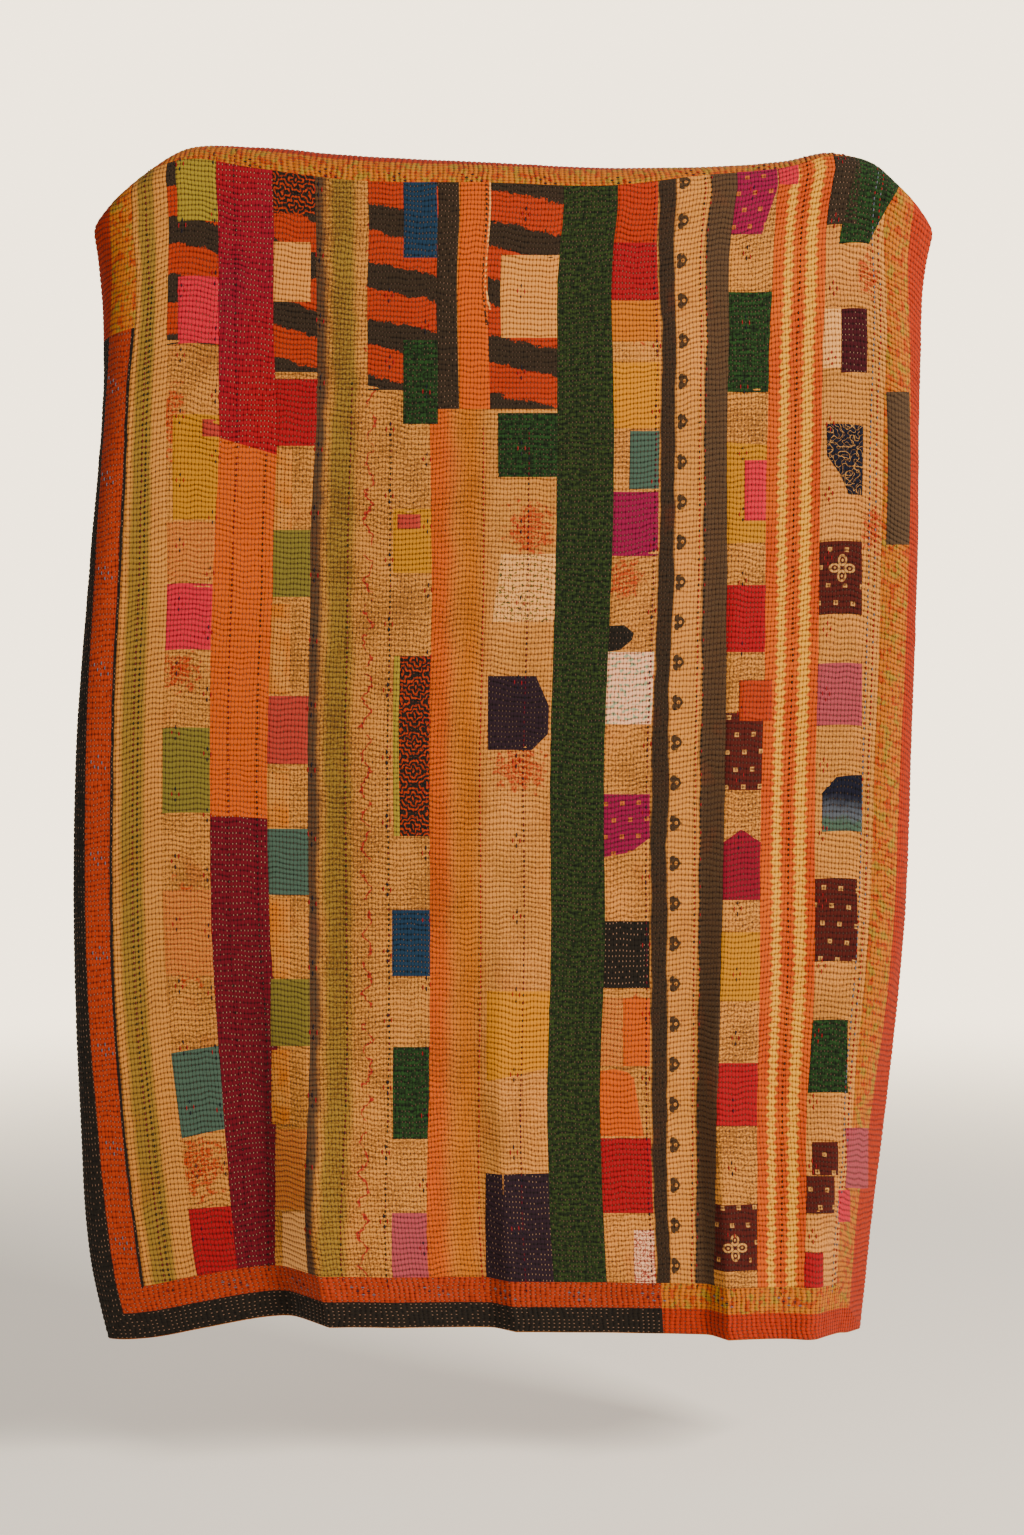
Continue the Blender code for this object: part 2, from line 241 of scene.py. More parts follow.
class QuiltSizes(bpy.types.PropertyGroup):
    """The sizes of the stitched relief and of the stage."""
    ridge: bpy.props.FloatProperty(
        name="Ridge height", description="Height of a stitched ridge over its grooves",
        default=RIDGE, min=0.0, max=0.004, unit="LENGTH")
    patch_lift: bpy.props.FloatProperty(
        name="Patch lift", description="How far a patch stands over the strip that carries it",
        default=PATCH_LIFT, min=0.0002, max=0.002, unit="LENGTH")
    stitch_length: bpy.props.FloatProperty(
        name="Stitch length", description="Length of one stitch of a small motif",
        default=0.0078, min=0.002, max=0.01, unit="LENGTH")
    thread_width: bpy.props.FloatProperty(
        name="Thread width", description="Width of the coloured thread",
        default=0.0019, min=0.0005, max=0.003, unit="LENGTH")
    floor_drop: bpy.props.FloatProperty(
        name="Floor drop", description="Height of the top edge over the floor",
        default=2.34, min=2.2, max=4.0, unit="LENGTH")


def dye(name):
    return tuple(getattr(bpy.context.scene.quilt_dyes, name))


# The hung form

def ease(t):
    t = np.clip(t, 0.0, 1.0)
    return t * t * (3 - 2 * t)


def through(x, table, column):
    """A smooth curve through one column of a table whose first column is the place."""
    places, values = table[:, 0], table[:, column]
    slopes = np.gradient(values, places)
    row = np.clip(np.searchsorted(places, x) - 1, 0, len(places) - 2)
    span = places[row + 1] - places[row]
    t = np.clip((x - places[row]) / span, 0.0, 1.0)
    start = values[row] * (1 + 2 * t) * (1 - t) ** 2 + slopes[row] * span * t * (1 - t) ** 2
    end = values[row + 1] * t * t * (3 - 2 * t) + slopes[row + 1] * span * t * t * (t - 1)
    return start + end


def fold_slope(across, down):
    """How steeply the upright folds carry the cloth backwards, going to the right."""
    slope = np.zeros_like(across + down)
    for crest, rise, fall, depth, start, full in FOLDS:
        grown = ease((down - start) / (full - start)) * depth
        place = across - crest
        rising = ease((place + rise) / (rise * RISE_EASE)) * ease(-place / (rise * CREST_SOFTNESS) + 0.5)
        falling = ease((fall - place) / (fall * FALL_EASE)) * ease(place / (rise * CREST_SOFTNESS) + 0.5)
        rising, falling = rising / (rise * (1 - RISE_EASE / 2)), falling / (fall * (1 - FALL_EASE / 2))
        slope = slope + grown * (falling - rising)
    return slope


def heading(across, down):
    """Direction of the level section: 0 runs to the right, and a positive angle runs to the back."""
    left = np.clip((through(down, LEFT_CURL, 1) - across) / through(down, LEFT_CURL, 2), 0.0, 1.0)
    right = np.clip((across - WIDTH + through(down, RIGHT_CURL, 1)) / through(down, RIGHT_CURL, 2), 0.0, 1.0)
    turn = right * through(down, RIGHT_CURL, 3) - left * through(down, LEFT_CURL, 3)
    return np.radians(turn) + np.arcsin(np.clip(fold_slope(across, down), -STEEPEST, STEEPEST))


def section_table():
    """Level sections of the hung cloth, each as long as the flat cloth is wide."""
    across = np.arange(-OVERRUN, WIDTH + OVERRUN, GRID)
    down = np.arange(-OVERRUN, LENGTH + OVERRUN, GRID_DOWN)
    angle = heading(across[None, :], down[:, None])
    x = np.cumsum(np.cos(angle), axis=1) * GRID
    y = np.cumsum(np.sin(angle), axis=1) * GRID
    inside = (across >= 0) & (across <= WIDTH)
    low = x[:, inside].min(axis=1, keepdims=True)
    high = x[:, inside].max(axis=1, keepdims=True)
    left = through(down, OUTLINE, 1)[:, None]
    right = through(down, OUTLINE, 2)[:, None]
    x = left + (right - left) * (x - low) / (high - low)
    flat_part = (across > CORNER_ZONE) & (across < FOLDS[0, 0] - FOLDS[0, 1])
    return x, y - y[:, flat_part].mean(axis=1, keepdims=True)


SECTION_X, SECTION_Y = section_table()


def read(table, across, down):
    column = np.clip((across + OVERRUN) / GRID, 0, table.shape[1] - 1.001)
    row = np.clip((down + OVERRUN) / GRID_DOWN, 0, table.shape[0] - 1.001)
    i, j = row.astype(int), column.astype(int)
    a, b = row - i, column - j
    near = table[i, j] * (1 - b) + table[i, j + 1] * b
    far = table[i + 1, j] * (1 - b) + table[i + 1, j + 1] * b
    return near * (1 - a) + far * a


def upright_point(across, down):
    """The hung face, before its top edge turns back."""
    level, hem = through(across, TOP, 1), through(across, TOP, 4)
    z = level - (level - hem) * down / LENGTH
    return np.stack([read(SECTION_X, across, down), read(SECTION_Y, across, down), z], axis=-1)


def turn_back(across, down, depth):
    """Turns the cloth above the start line to the back, square to the line along the top of the turn."""
    start, radius = through(across, TOP, 2), through(across, TOP, 3)
    ahead = through(across + NUDGE, TOP, 2) - through(across + NUDGE, TOP, 3)
    behind = through(across - NUDGE, TOP, 2) - through(across - NUDGE, TOP, 3)
    slope = (ahead - behind) / (2 * NUDGE)
    length = np.sqrt(1 + slope ** 2)
    past = np.maximum(start - down, 0.0) / length
    angle = np.minimum(past / radius, FULL_TURN)
    straight = past - angle * radius
    reach = (radius - depth) * np.sin(angle) + straight * np.cos(angle)
    moved = np.where(past > 0, reach - past, 0.0)
    depth = np.where(past > 0, radius - (radius - depth) * np.cos(angle) + straight * np.sin(angle), depth)
    return across + moved * slope / length, down - moved / length, depth


def hang(across, down, depth):
    """Hung places of flat ones. depth is the distance behind the face."""
    across, down, depth = turn_back(across, down, depth)
    sideways = upright_point(across + NUDGE, down) - upright_point(across - NUDGE, down)
    downwards = upright_point(across, down + NUDGE) - upright_point(across, down - NUDGE)
    back = np.cross(sideways, downwards)
    back = back / np.linalg.norm(back, axis=-1, keepdims=True)
    return upright_point(across, down) + back * depth[..., None] - CREST


def crest_point():
    """The highest place of the top turn where the cloth crosses x = 0."""
    across = np.arange(CREST_SEARCH, WIDTH - CREST_SEARCH, NUDGE)
    middle = across[np.argmin(np.abs(upright_point(across, np.full_like(across, BORDER))[:, 0]))]
    roll = np.arange(0.0, ROLL_ZONE, NUDGE)
    points = hang(np.full_like(roll, middle), roll, np.zeros_like(roll))
    top = points[np.argmax(points[:, 2])]
    return np.array([0.0, top[1], top[2]])


CREST = np.zeros(3)
CREST = crest_point()


def photo_pixels(across, down):
    """Where flat places of the hung face show on the photograph."""
    place = hang(across, down, np.zeros_like(across))
    scale = CAMERA_DISTANCE / PHOTO_SCALE / (place[..., 1] - CAMERA[1])
    return (PHOTO_WIDTH / 2 + (place[..., 0] - CAMERA[0]) * scale,
            PHOTO_HEIGHT / 2 - (place[..., 2] - CAMERA[2]) * scale)


CHART_TOP = 0.06
CHART_LINES = (80, 110)
CHART = [line.ravel() for line in np.meshgrid(np.linspace(0.0, WIDTH, CHART_LINES[0]),
                                              np.linspace(CHART_TOP, LENGTH, CHART_LINES[1]))]
CHART_PIXELS = photo_pixels(*CHART)
HOMING_STEPS = 10


def flat_at(x, y):
    """The flat places whose hung face shows at the given photo pixels."""
    x, y = np.atleast_1d(np.asarray(x, float)), np.atleast_1d(np.asarray(y, float))
    nearest = np.argmin((x[:, None] - CHART_PIXELS[0]) ** 2 + (y[:, None] - CHART_PIXELS[1]) ** 2, axis=1)
    across, down = CHART[0][nearest], CHART[1][nearest]
    for _ in range(HOMING_STEPS):
        at_x, at_y = photo_pixels(across, down)
        across = np.clip(across + (x - at_x) * PHOTO_SCALE, 0.0, WIDTH)
        down = np.clip(down + (y - at_y) * PHOTO_SCALE, 0.0, LENGTH)
    return across, down


def flat_spot(x, y):
    """The one flat place that shows at a photo pixel."""
    (across,), (down,) = flat_at(x, y)
    return float(across), float(down)


# The stitched relief

SWELLS = 64
RANDOM = np.random.default_rng(12).random((SWELLS, SWELLS)) * 2 - 1


def ripple(across, down, wide, tall):
    """Smooth random values from -1 to 1, in swells of the given width and height."""
    x, y = across / wide + 7.3, down / tall + 3.1
    i, j = np.floor(x).astype(int), np.floor(y).astype(int)
    a, b = ease(x - i), ease(y - j)

    def level(j):
        return RANDOM[i % SWELLS, j % SWELLS] * (1 - a) + RANDOM[(i + 1) % SWELLS, j % SWELLS] * a

    return level(j) * (1 - b) + level(j + 1) * b


STRAYS = (
    # pitches, shift, and the length of a swell along the ridges and across them
    (0.80, 2.0, 0.11, 0.16), (0.34, 0.0, 0.036, 0.10), (0.24, 5.0, 0.017, 0.035),
)


def wander(along, order):
    """How far the ridges stray, in pitches. along runs with the ridges, and order from one to the next."""
    return sum(share * ripple(along + shift, order, long, apart) for share, shift, long, apart in STRAYS)


def ridge_depth(along, order):
    """Depth of the stitched face, and the count of ridges down to there."""
    count = order / PITCH - wander(along, order)
    height = bpy.context.scene.quilt_sizes.ridge * (0.85 + 0.35 * ripple(along + 9, order, 0.05, 0.03))
    return GROOVE - height * np.abs(np.sin(np.pi * count)) ** 0.8, count


# Seams, in photo pixels

SEAMS_ON_PHOTO = {
    # y, x of a few places on each upright seam
    "left": ((230, 132), (272, 136), (400, 128.6), (452, 126.7), (608, 118.9), (763, 113.3), (900, 112.5),
             (1000, 115), (1120, 124), (1250, 139), (1285, 144)),
    "a_b": ((200, 167.6), (430, 166), (670, 164.5), (930, 164), (1060, 172), (1150, 183), (1270, 196)),
    "b_c": ((200, 217), (345, 218.5), (430, 219), (600, 212), (728, 210), (930, 211.5), (1060, 219.5),
            (1130, 225), (1270, 238)),
    "c_d": ((200, 273), (345, 274), (430, 277), (530, 273.7), (695, 268.6), (930, 270), (1050, 277.5),
            (1130, 276), (1270, 275.5)),
    "d_e": ((200, 315), (430, 316), (530, 310.6), (670, 309), (930, 309), (1080, 309), (1270, 308)),
    "e_j": ((200, 430), (430, 430), (930, 430), (1080, 429), (1270, 428)),
    "j_k": ((200, 564), (430, 557), (780, 550), (930, 551), (1270, 553)),
    "k_l": ((200, 618), (430, 614), (780, 604), (930, 605), (1270, 606)),
    "l_m": ((200, 658), (300, 659), (430, 659.5), (600, 656), (780, 650), (930, 649.5), (1060, 650),
            (1270, 655)),
    "m_p": ((200, 736), (300, 729), (430, 727), (600, 727), (780, 725), (930, 722), (1080, 718), (1270, 714)),
    "p_q": ((190, 778), (270, 773), (340, 769.6), (450, 767), (700, 764), (900, 760), (1080, 757.5),
            (1260, 757)),
    "q_r": ((200, 829.6), (270, 825.6), (340, 823), (450, 821), (670, 818), (900, 815), (1025, 812.5),
            (1150, 806), (1270, 804)),
    "right": ((200, 885.6), (270, 885), (430, 883), (650, 879), (890, 871), (1025, 860), (1125, 852),
              (1225, 840), (1270, 837.5)),
}
STRIPS = (
    # name, left seam, right seam
    ("a", "left", "a_b"), ("b", "a_b", "b_c"), ("c", "b_c", "c_d"), ("d", "c_d", "d_e"),
    ("e", "d_e", "e_j"), ("j", "e_j", "j_k"), ("k", "j_k", "k_l"), ("l", "k_l", "l_m"),
    ("m", "l_m", "m_p"), ("p", "m_p", "p_q"), ("q", "p_q", "q_r"), ("r", "q_r", "right"),
)


def flat_seam(points):
    """A table of down and across along a seam."""
    y, x = np.array(points, float).T
    across, down = flat_at(x, y)
    return np.column_stack([down, across])


FLAT_SEAMS = {name: flat_seam(points) for name, points in SEAMS_ON_PHOTO.items()}


def seam(name, down):
    """Across of a seam at a height, with the small waver of a hand-sewn line."""
    waver = WAVER * ripple(np.full_like(down, len(name) + FLAT_SEAMS[name][0, 1] * 40), down, 1.0, 0.02)
    return through(down, FLAT_SEAMS[name], 1) + waver


# Meshes

def along_seam(name):
    """A limit that follows a seam."""
    return lambda down: seam(name, down)


def level_at(value):
    """A limit that is the same all along."""
    return lambda v: np.full_like(v, value)


class Cloth:
    """Gathers closed pieces of stitched cloth into one mesh. Each is laid out in order along a ridge
    ("along") and from ridge to ridge ("order"): level ridges have across along and down in order."""

    def __init__(self, name):
        self.name = name
        self.places, self.faces, self.looks = [], [], []
        self.count = 0
        self.area = 0.0

    def add(self, left, right, top, bottom, level=True, lift=0.0, back=STRIP_BACK, dye=(1, 1, 1), fleck=0.0,
            lines=LINES_A_RIDGE, column=COLUMN, steps=HIDDEN_STEPS, behind=False):
        """left and right give the ends along a ridge for an order, top and bottom the orders of the first and
        last line for shares from 0 to 1 between them. column is the mesh step along a ridge, and the hidden
        side keeps one line in each of the steps. behind puts the relief on the back."""
        share = np.linspace(0, 1, 9)
        low, high = top(share).min(), bottom(share).max()
        middle = np.linspace(low, high, 9)
        widest = (right(middle) - left(middle)).max()
        rim = min(TURNED_EDGE / widest, 0.2)
        inner = np.linspace(rim, 1 - rim, max(2, int(round(widest / column))) + 1)
        share = np.concatenate([[0.0], inner, [1.0]])
        ridges = np.arange(np.ceil(low / PITCH * lines) + 1, np.floor(high / PITCH * lines)) / lines
        order = ridges[:, None] * PITCH + np.zeros_like(share)
        for _ in range(3):
            along = left(order) + (right(order) - left(order)) * share
            order = (ridges[:, None] + wander(along, order)) * PITCH
        first, last = top(share), bottom(share)
        rank = np.arange(len(ridges))[:, None] + 1
        order = np.maximum(order, first + TURNED_EDGE + HAIR * rank)
        order = np.minimum(order, last - TURNED_EDGE - HAIR * rank[::-1])
        order = np.vstack([first, first + TURNED_EDGE, order, last - TURNED_EDGE, last])
        along = left(order) + (right(order) - left(order)) * share
        depth, wave = ridge_depth(along, order)
        ring = np.zeros(order.shape, bool)
        ring[0] = ring[-1] = ring[:, 0] = ring[:, -1] = True
        depth = depth + np.where(ring, SUNK_RIM if lift == 0 else -RAISED_RIM, -lift)
        if behind:
            depth, back = BACKING_BACK - (depth - GROOVE) * BACK_RELIEF, BACKING_FRONT
        self._grid(along, order, depth, wave, share, level != behind, level, back, dye, fleck, steps)
        step_along = np.diff(along[:, [0, -1]], axis=1)[:, 0]
        self.area += float(np.abs(np.sum((step_along[1:] + step_along[:-1]) / 2
                                         * np.diff((order[:, 0] + order[:, -1]) / 2))))

    def _grid(self, along, order, depth, wave, share, outward, level, back, dye, fleck, steps):
        rows, columns = along.shape
        across, down = (along, order) if level else (order, along)
        across_step, down_step = steps
        keep_i = list(range(0, rows - 1, down_step)) + [rows - 1]
        keep_j = list(range(0, columns - 1, across_step)) + [columns - 1]
        front = hang(across.ravel(), down.ravel(), depth.ravel())
        picked = np.ix_(keep_i, keep_j)
        behind = hang(across[picked].ravel(), down[picked].ravel(), np.full(len(keep_i) * len(keep_j), back))
        base, under = self.count, self.count + rows * columns
        self.places += [front, behind]
        row = (down / ROW_GAP if not level else across / ROW_GAP)
        side = np.broadcast_to(share, along.shape)
        tint = np.array([*dye, fleck])
        for pick in (np.ix_(range(rows), range(columns)), picked):
            values = [a[pick].ravel() for a in (across, down, wave, row, side)]
            self.looks.append(np.column_stack(values + [np.tile(tint, (len(values[0]), 1))]))
        self.count = under + len(keep_i) * len(keep_j)

        def top_of(i, j):
            return base + i * columns + j

        def under_of(i, j):
            return under + i * len(keep_j) + j

        i, j = np.meshgrid(np.arange(rows - 1), np.arange(columns - 1), indexing="ij")
        made = np.stack([top_of(i, j), top_of(i + 1, j), top_of(i + 1, j + 1), top_of(i, j + 1)], -1)
        made = made.reshape(-1, 4).tolist()
        i, j = np.meshgrid(np.arange(len(keep_i) - 1), np.arange(len(keep_j) - 1), indexing="ij")
        hidden = np.stack([under_of(i, j), under_of(i, j + 1),
                           under_of(i + 1, j + 1), under_of(i + 1, j)], -1)
        made += hidden.reshape(-1, 4).tolist()
        for n, (a, b) in enumerate(zip(keep_j[:-1], keep_j[1:])):
            made.append([top_of(0, j) for j in range(a, b + 1)] + [under_of(0, n + 1), under_of(0, n)])
            last = len(keep_i) - 1
            made.append([top_of(rows - 1, j) for j in range(b, a - 1, -1)]
                        + [under_of(last, n), under_of(last, n + 1)])
        for n, (a, b) in enumerate(zip(keep_i[:-1], keep_i[1:])):
            made.append([top_of(i, 0) for i in range(b, a - 1, -1)] + [under_of(n, 0), under_of(n + 1, 0)])
            last = len(keep_j) - 1
            made.append([top_of(i, columns - 1) for i in range(a, b + 1)]
                        + [under_of(n + 1, last), under_of(n, last)])
        if not outward:
            made = [face[::-1] for face in made]
        self.faces += made

    def finish(self, material):
        """Makes the object, with the UV map "flat" in metres and the attributes its materials read."""
        mesh = bpy.data.meshes.new(self.name)
        mesh.from_pydata(np.concatenate(self.places).tolist(), [], self.faces)
        looks = np.concatenate(self.looks)
        corner = np.zeros(len(mesh.loops), np.int32)
        mesh.loops.foreach_get("vertex_index", corner)
        flat = np.column_stack([looks[:, 0], LENGTH - looks[:, 1]])[corner].astype(np.float32)
        mesh.uv_layers.new(name="flat").uv.foreach_set("vector", flat.ravel())
        for name, column in (("wave", 2), ("row", 3), ("side", 4), ("fleck", 8)):
            values = looks[:, column].astype(np.float32)
            mesh.attributes.new(name, "FLOAT", "POINT").data.foreach_set("value", values)
        tint = np.column_stack([looks[:, 5:8], np.ones(len(looks))]).astype(np.float32)
        mesh.attributes.new("dye", "FLOAT_COLOR", "POINT").data.foreach_set("color", tint.ravel())
        mesh.materials.append(material)
        mesh.shade_smooth()
        mesh.set_sharp_from_angle(angle=SHARP)
        return in_scene(self.name, mesh)


def in_scene(name, data):
    """An object of the given data, linked to the scene."""
    made = bpy.data.objects.new(name, data)
    bpy.context.scene.collection.objects.link(made)
    return made


def turned(sideways, upwards):
    """The turn whose z runs with upwards and whose x comes as near to sideways as it can."""
    up = upwards / np.linalg.norm(upwards)
    right = sideways - up * np.dot(sideways, up)
    right = right / np.linalg.norm(right)
    return Matrix(np.column_stack([right, np.cross(up, right), up]).tolist()).to_euler()


def settle(piece, nodes):
    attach(piece, "root")
    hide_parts(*nodes)


def between(points):
    """A straight-run function through (place, value) points."""
    places, values = np.array(sorted(points)).T
    return lambda x: np.interp(x, places, values)


def shaped(left, right, top=None, bottom=None):
    """Flat limits of a patch from its outline in photo pixels: the two sides run from the top down, and top
    and bottom, where they aren't straight, run from left to right with their ends."""
    top = top or (left[0], right[0])
    bottom = bottom or (left[-1], right[-1])

    def flat(points):
        x, y = np.array(points, float).T
        return np.column_stack(flat_at(x, y))

    sides = [flat(points) for points in (left, right)]
    ends = [flat(points) for points in (top, bottom)]
    left_at, right_at = (between([(d, a) for a, d in side]) for side in sides)

    def end_at(points):
        start, stop = points[0, 0], points[-1, 0]
        return between([((a - start) / (stop - start), d) for a, d in points])

    return left_at, right_at, end_at(ends[0]), end_at(ends[1])


def snug(left, right, top, bottom):
    """Carries the sides of a patch to the seams that they nearly reach, and keeps it off the borders."""
    share = np.linspace(0, 1, 5)
    low, high = np.maximum(top(share), BORDER), np.minimum(bottom(share), LENGTH - BORDER)
    down = np.linspace(low.mean(), high.mean(), 5)
    centre = (left(down) + right(down)).mean() / 2

    def carried(side, name, outward):
        if np.abs(side(down) - seam(name, down)).mean() < SNUG:
            return lambda v: seam(name, v) + outward * HAIR
        return side

    for _, before, after in STRIPS:
        if seam(before, down).mean() < centre < seam(after, down).mean():
            left, right = carried(left, before, -1), carried(right, after, 1)
            break
    if top(share).mean() < BORDER + SNUG_TO_BORDER:
        top = level_at(BORDER + HAIR)
    if bottom(share).mean() > LENGTH - BORDER - SNUG_TO_BORDER:
        bottom = level_at(LENGTH - BORDER - HAIR)
    return left, right, top, bottom


def box_patch(x_left, x_right, y_top, y_bottom):
    return shaped(((x_left, y_top), (x_left, y_bottom)), ((x_right, y_top), (x_right, y_bottom)))


# Materials

# What tints and shades every cloth, as linear colours
SHADOW = (0.14, 0.055, 0.022)       # in the grooves and stitch holes
FADED = (0.95, 0.80, 0.62)
SOILED = (0.52, 0.40, 0.32)
LINT = (0.95, 0.88, 0.78)
BROWNED = (0.30, 0.16, 0.08)        # streaks along the borders
TWIST_SHADE = (0.02, 0.02, 0.02)    # between the plies of the coloured thread
GROOVE_SHADE = 0.5148               # how much of the shadow a groove takes
BUMP = 0.0012                       # full height of the bump, metres


class Number:
    """A number that changes over a surface. Arithmetic on it adds Math nodes."""

    def __init__(self, nodes, socket):
        self.nodes, self.socket = nodes, socket

    def __add__(self, other):
        return self.nodes.math("ADD", self, other)

    def __sub__(self, other):
        return self.nodes.math("SUBTRACT", self, other)

    def __rsub__(self, other):
        return self.nodes.math("SUBTRACT", other, self)

    def __mul__(self, other):
        return self.nodes.math("MULTIPLY", self, other)

    def __truediv__(self, other):
        return self.nodes.math("DIVIDE", self, other)

    def __gt__(self, other):
        return self.nodes.math("GREATER_THAN", self, other)

    __radd__ = __add__
    __rmul__ = __mul__


class Nodes:
    """Fills a node tree."""

    def __init__(self, tree):
        self.tree = tree

    def fill(self, made, inputs):
        """Gives the sockets of a node their values or links."""
        for key, value in inputs.items():
            if isinstance(value, Number):
                value = value.socket
            if isinstance(value, bpy.types.NodeSocket):
                self.tree.links.new(value, made.inputs[key])
            elif isinstance(value, tuple) and len(value) == 3 and made.inputs[key].type == "RGBA":
                made.inputs[key].default_value = (*value, 1.0)
            else:
                made.inputs[key].default_value = value

    def node(self, kind, settings=None, inputs=None):
        made = self.tree.nodes.new(kind)
        for key, value in (settings or {}).items():
            setattr(made, key, value)
        self.fill(made, inputs or {})
        return made

    def math(self, operation, *values):
        made = self.node("ShaderNodeMath", {"operation": operation}, dict(enumerate(values)))
        return Number(self, made.outputs[0])

    def vector(self, *parts):
        return self.node("ShaderNodeCombineXYZ", {}, dict(enumerate(parts))).outputs[0]

    def ramp(self, value, start, end):
        """0 at start and 1 at end, smooth between. start may be the greater."""
        made = self.node("ShaderNodeMapRange", {"interpolation_type": "SMOOTHSTEP"},
                         {0: value, 1: start, 2: end})
        return Number(self, made.outputs[0])


class Paint(Nodes):
    """The nodes of one material."""

    def __init__(self, name):
        self.material = bpy.data.materials.new(name)
        self.material.use_nodes = True
        super().__init__(self.material.node_tree)
        self.shader = self.tree.nodes["Principled BSDF"]


class Recipe(Paint):
    """The nodes of one cloth's material, laid out on the cloth's flat places."""

    def __init__(self, name):
        super().__init__(name)
        self.fill(self.shader, {"Metallic": 0.0, "Specular IOR Level": 0.15})
        flat = self.node("ShaderNodeUVMap", {"uv_map": "flat"})
        parts = self.node("ShaderNodeSeparateXYZ", {}, {0: flat.outputs[0]})
        self.across = Number(self, parts.outputs[0])
        self.down = LENGTH - Number(self, parts.outputs[1])
        self.wave = self.attribute("wave")
        self.row = self.attribute("row")
        self.side = self.attribute("side")

    def attribute(self, name, colour=False):
        made = self.node("ShaderNodeAttribute", {"attribute_name": name})
        return made.outputs["Color"] if colour else Number(self, made.outputs["Fac"])

    def mix(self, factor, a, b, blend="MIX"):
        made = self.node("ShaderNodeMix", {"data_type": "RGBA", "blend_type": blend}, {0: factor, 6: a, 7: b})
        return made.outputs[2]

    def band(self, value, low, high, soft):
        return self.ramp(value, low - soft, low + soft) * self.ramp(value, high + soft, high - soft)

    def noise(self, wide, tall=None, seed=0.0, detail=2.0, rough=0.5):
        """Smooth noise from 0 to 1, in swells of the given size in metres."""
        made = self.node("ShaderNodeTexNoise", {}, {
            "Vector": self.vector(self.across / wide, self.down / (tall or wide), seed),
            "Scale": 1.0, "Detail": detail, "Roughness": rough})
        return Number(self, made.outputs["Fac"])

    def absolute(self, value):
        return self.math("ABSOLUTE", value)

    def fraction(self, value):
        return self.math("FRACT", value)

    def chance(self, *values):
        """A random number from 0 to 1 for each whole step of the values."""
        whole = [self.math("FLOOR", value) for value in values]
        made = self.node("ShaderNodeTexWhiteNoise", {"noise_dimensions": "3D"},
                         {"Vector": self.vector(*whole)})
        return Number(self, made.outputs["Value"])

    def sewn(self, colour, fleck=None):
        """Finishes a cloth of the given colour: grooves, stitch holes, flecks of thread, weave and bump."""
        rib = self.absolute(self.math("SINE", self.wave * np.pi))
        stray = self.row + (self.noise(0.02, seed=3.0) - 0.5) * 0.5
        row = self.absolute(self.math("SINE", stray * np.pi))
        groove = self.ramp(rib, 0.80, 0.10)
        stitch = self.ramp(row, 0.50, 0.15) * self.ramp(rib, 0.85, 0.40)
        bead = self.ramp(row, 0.60, 0.05)
        luck = self.chance(stray + 0.5, self.wave + 0.5)
        fade = self.noise(0.35, 0.5, seed=1.0, detail=3.0)
        mottle = self.noise(0.006, 0.004, seed=2.0)
        weave = self.noise(0.0016, 0.0008, seed=5.0)
        shade = groove * GROOVE_SHADE + stitch * (luck * 0.35 + 0.30) + bead * 0.26
        shade = shade * (self.noise(0.03, seed=6.0) * 0.6 + 0.7)
        colour = self.mix(shade, colour, SHADOW, "MULTIPLY")
        colour = self.mix(self.ramp(fade, 0.42, 0.72) * 0.14, colour, FADED, "SOFT_LIGHT")
        colour = self.mix(self.ramp(mottle, 0.45, 0.75) * 0.30, colour, SOILED, "MULTIPLY")
        colour = self.mix(self.ramp(weave, 0.50, 0.78) * 0.16, colour, LINT, "SOFT_LIGHT")
        if fleck is None:
            fleck = self.attribute("fleck")
        shown = self.ramp(row, 0.40, 0.18) * self.ramp(rib, 0.55, 0.25) * (luck > 0.30)
        colour = self.mix(shown * fleck, colour, dye("thread"))
        height = weave * 0.22 + mottle * 0.20 - stitch * 0.8 - bead * 0.6 - groove * 0.20
        bump = self.node("ShaderNodeBump", {}, {"Strength": 0.75, "Distance": BUMP, "Height": height})
        self.fill(self.shader, {"Base Color": colour, "Roughness": 0.80 + mottle * 0.14,
                                "Normal": bump.outputs[0], "Sheen Weight": 0.04})
        return self.material


STAINS = {
    # strip: x, y, half width and half height, in photo pixels
    "b": ((172, 420, 12, 34), (178, 672, 20, 20), (186, 935, 24, 44), (200, 1165, 22, 30)),
    "j": ((530, 529, 24, 26), (520, 770, 26, 22)),
    "l": ((640, 320, 18, 22), (625, 580, 16, 20), (634, 1020, 16, 24)),
    "r": ((868, 276, 9, 22), (872, 530, 10, 22)),
}


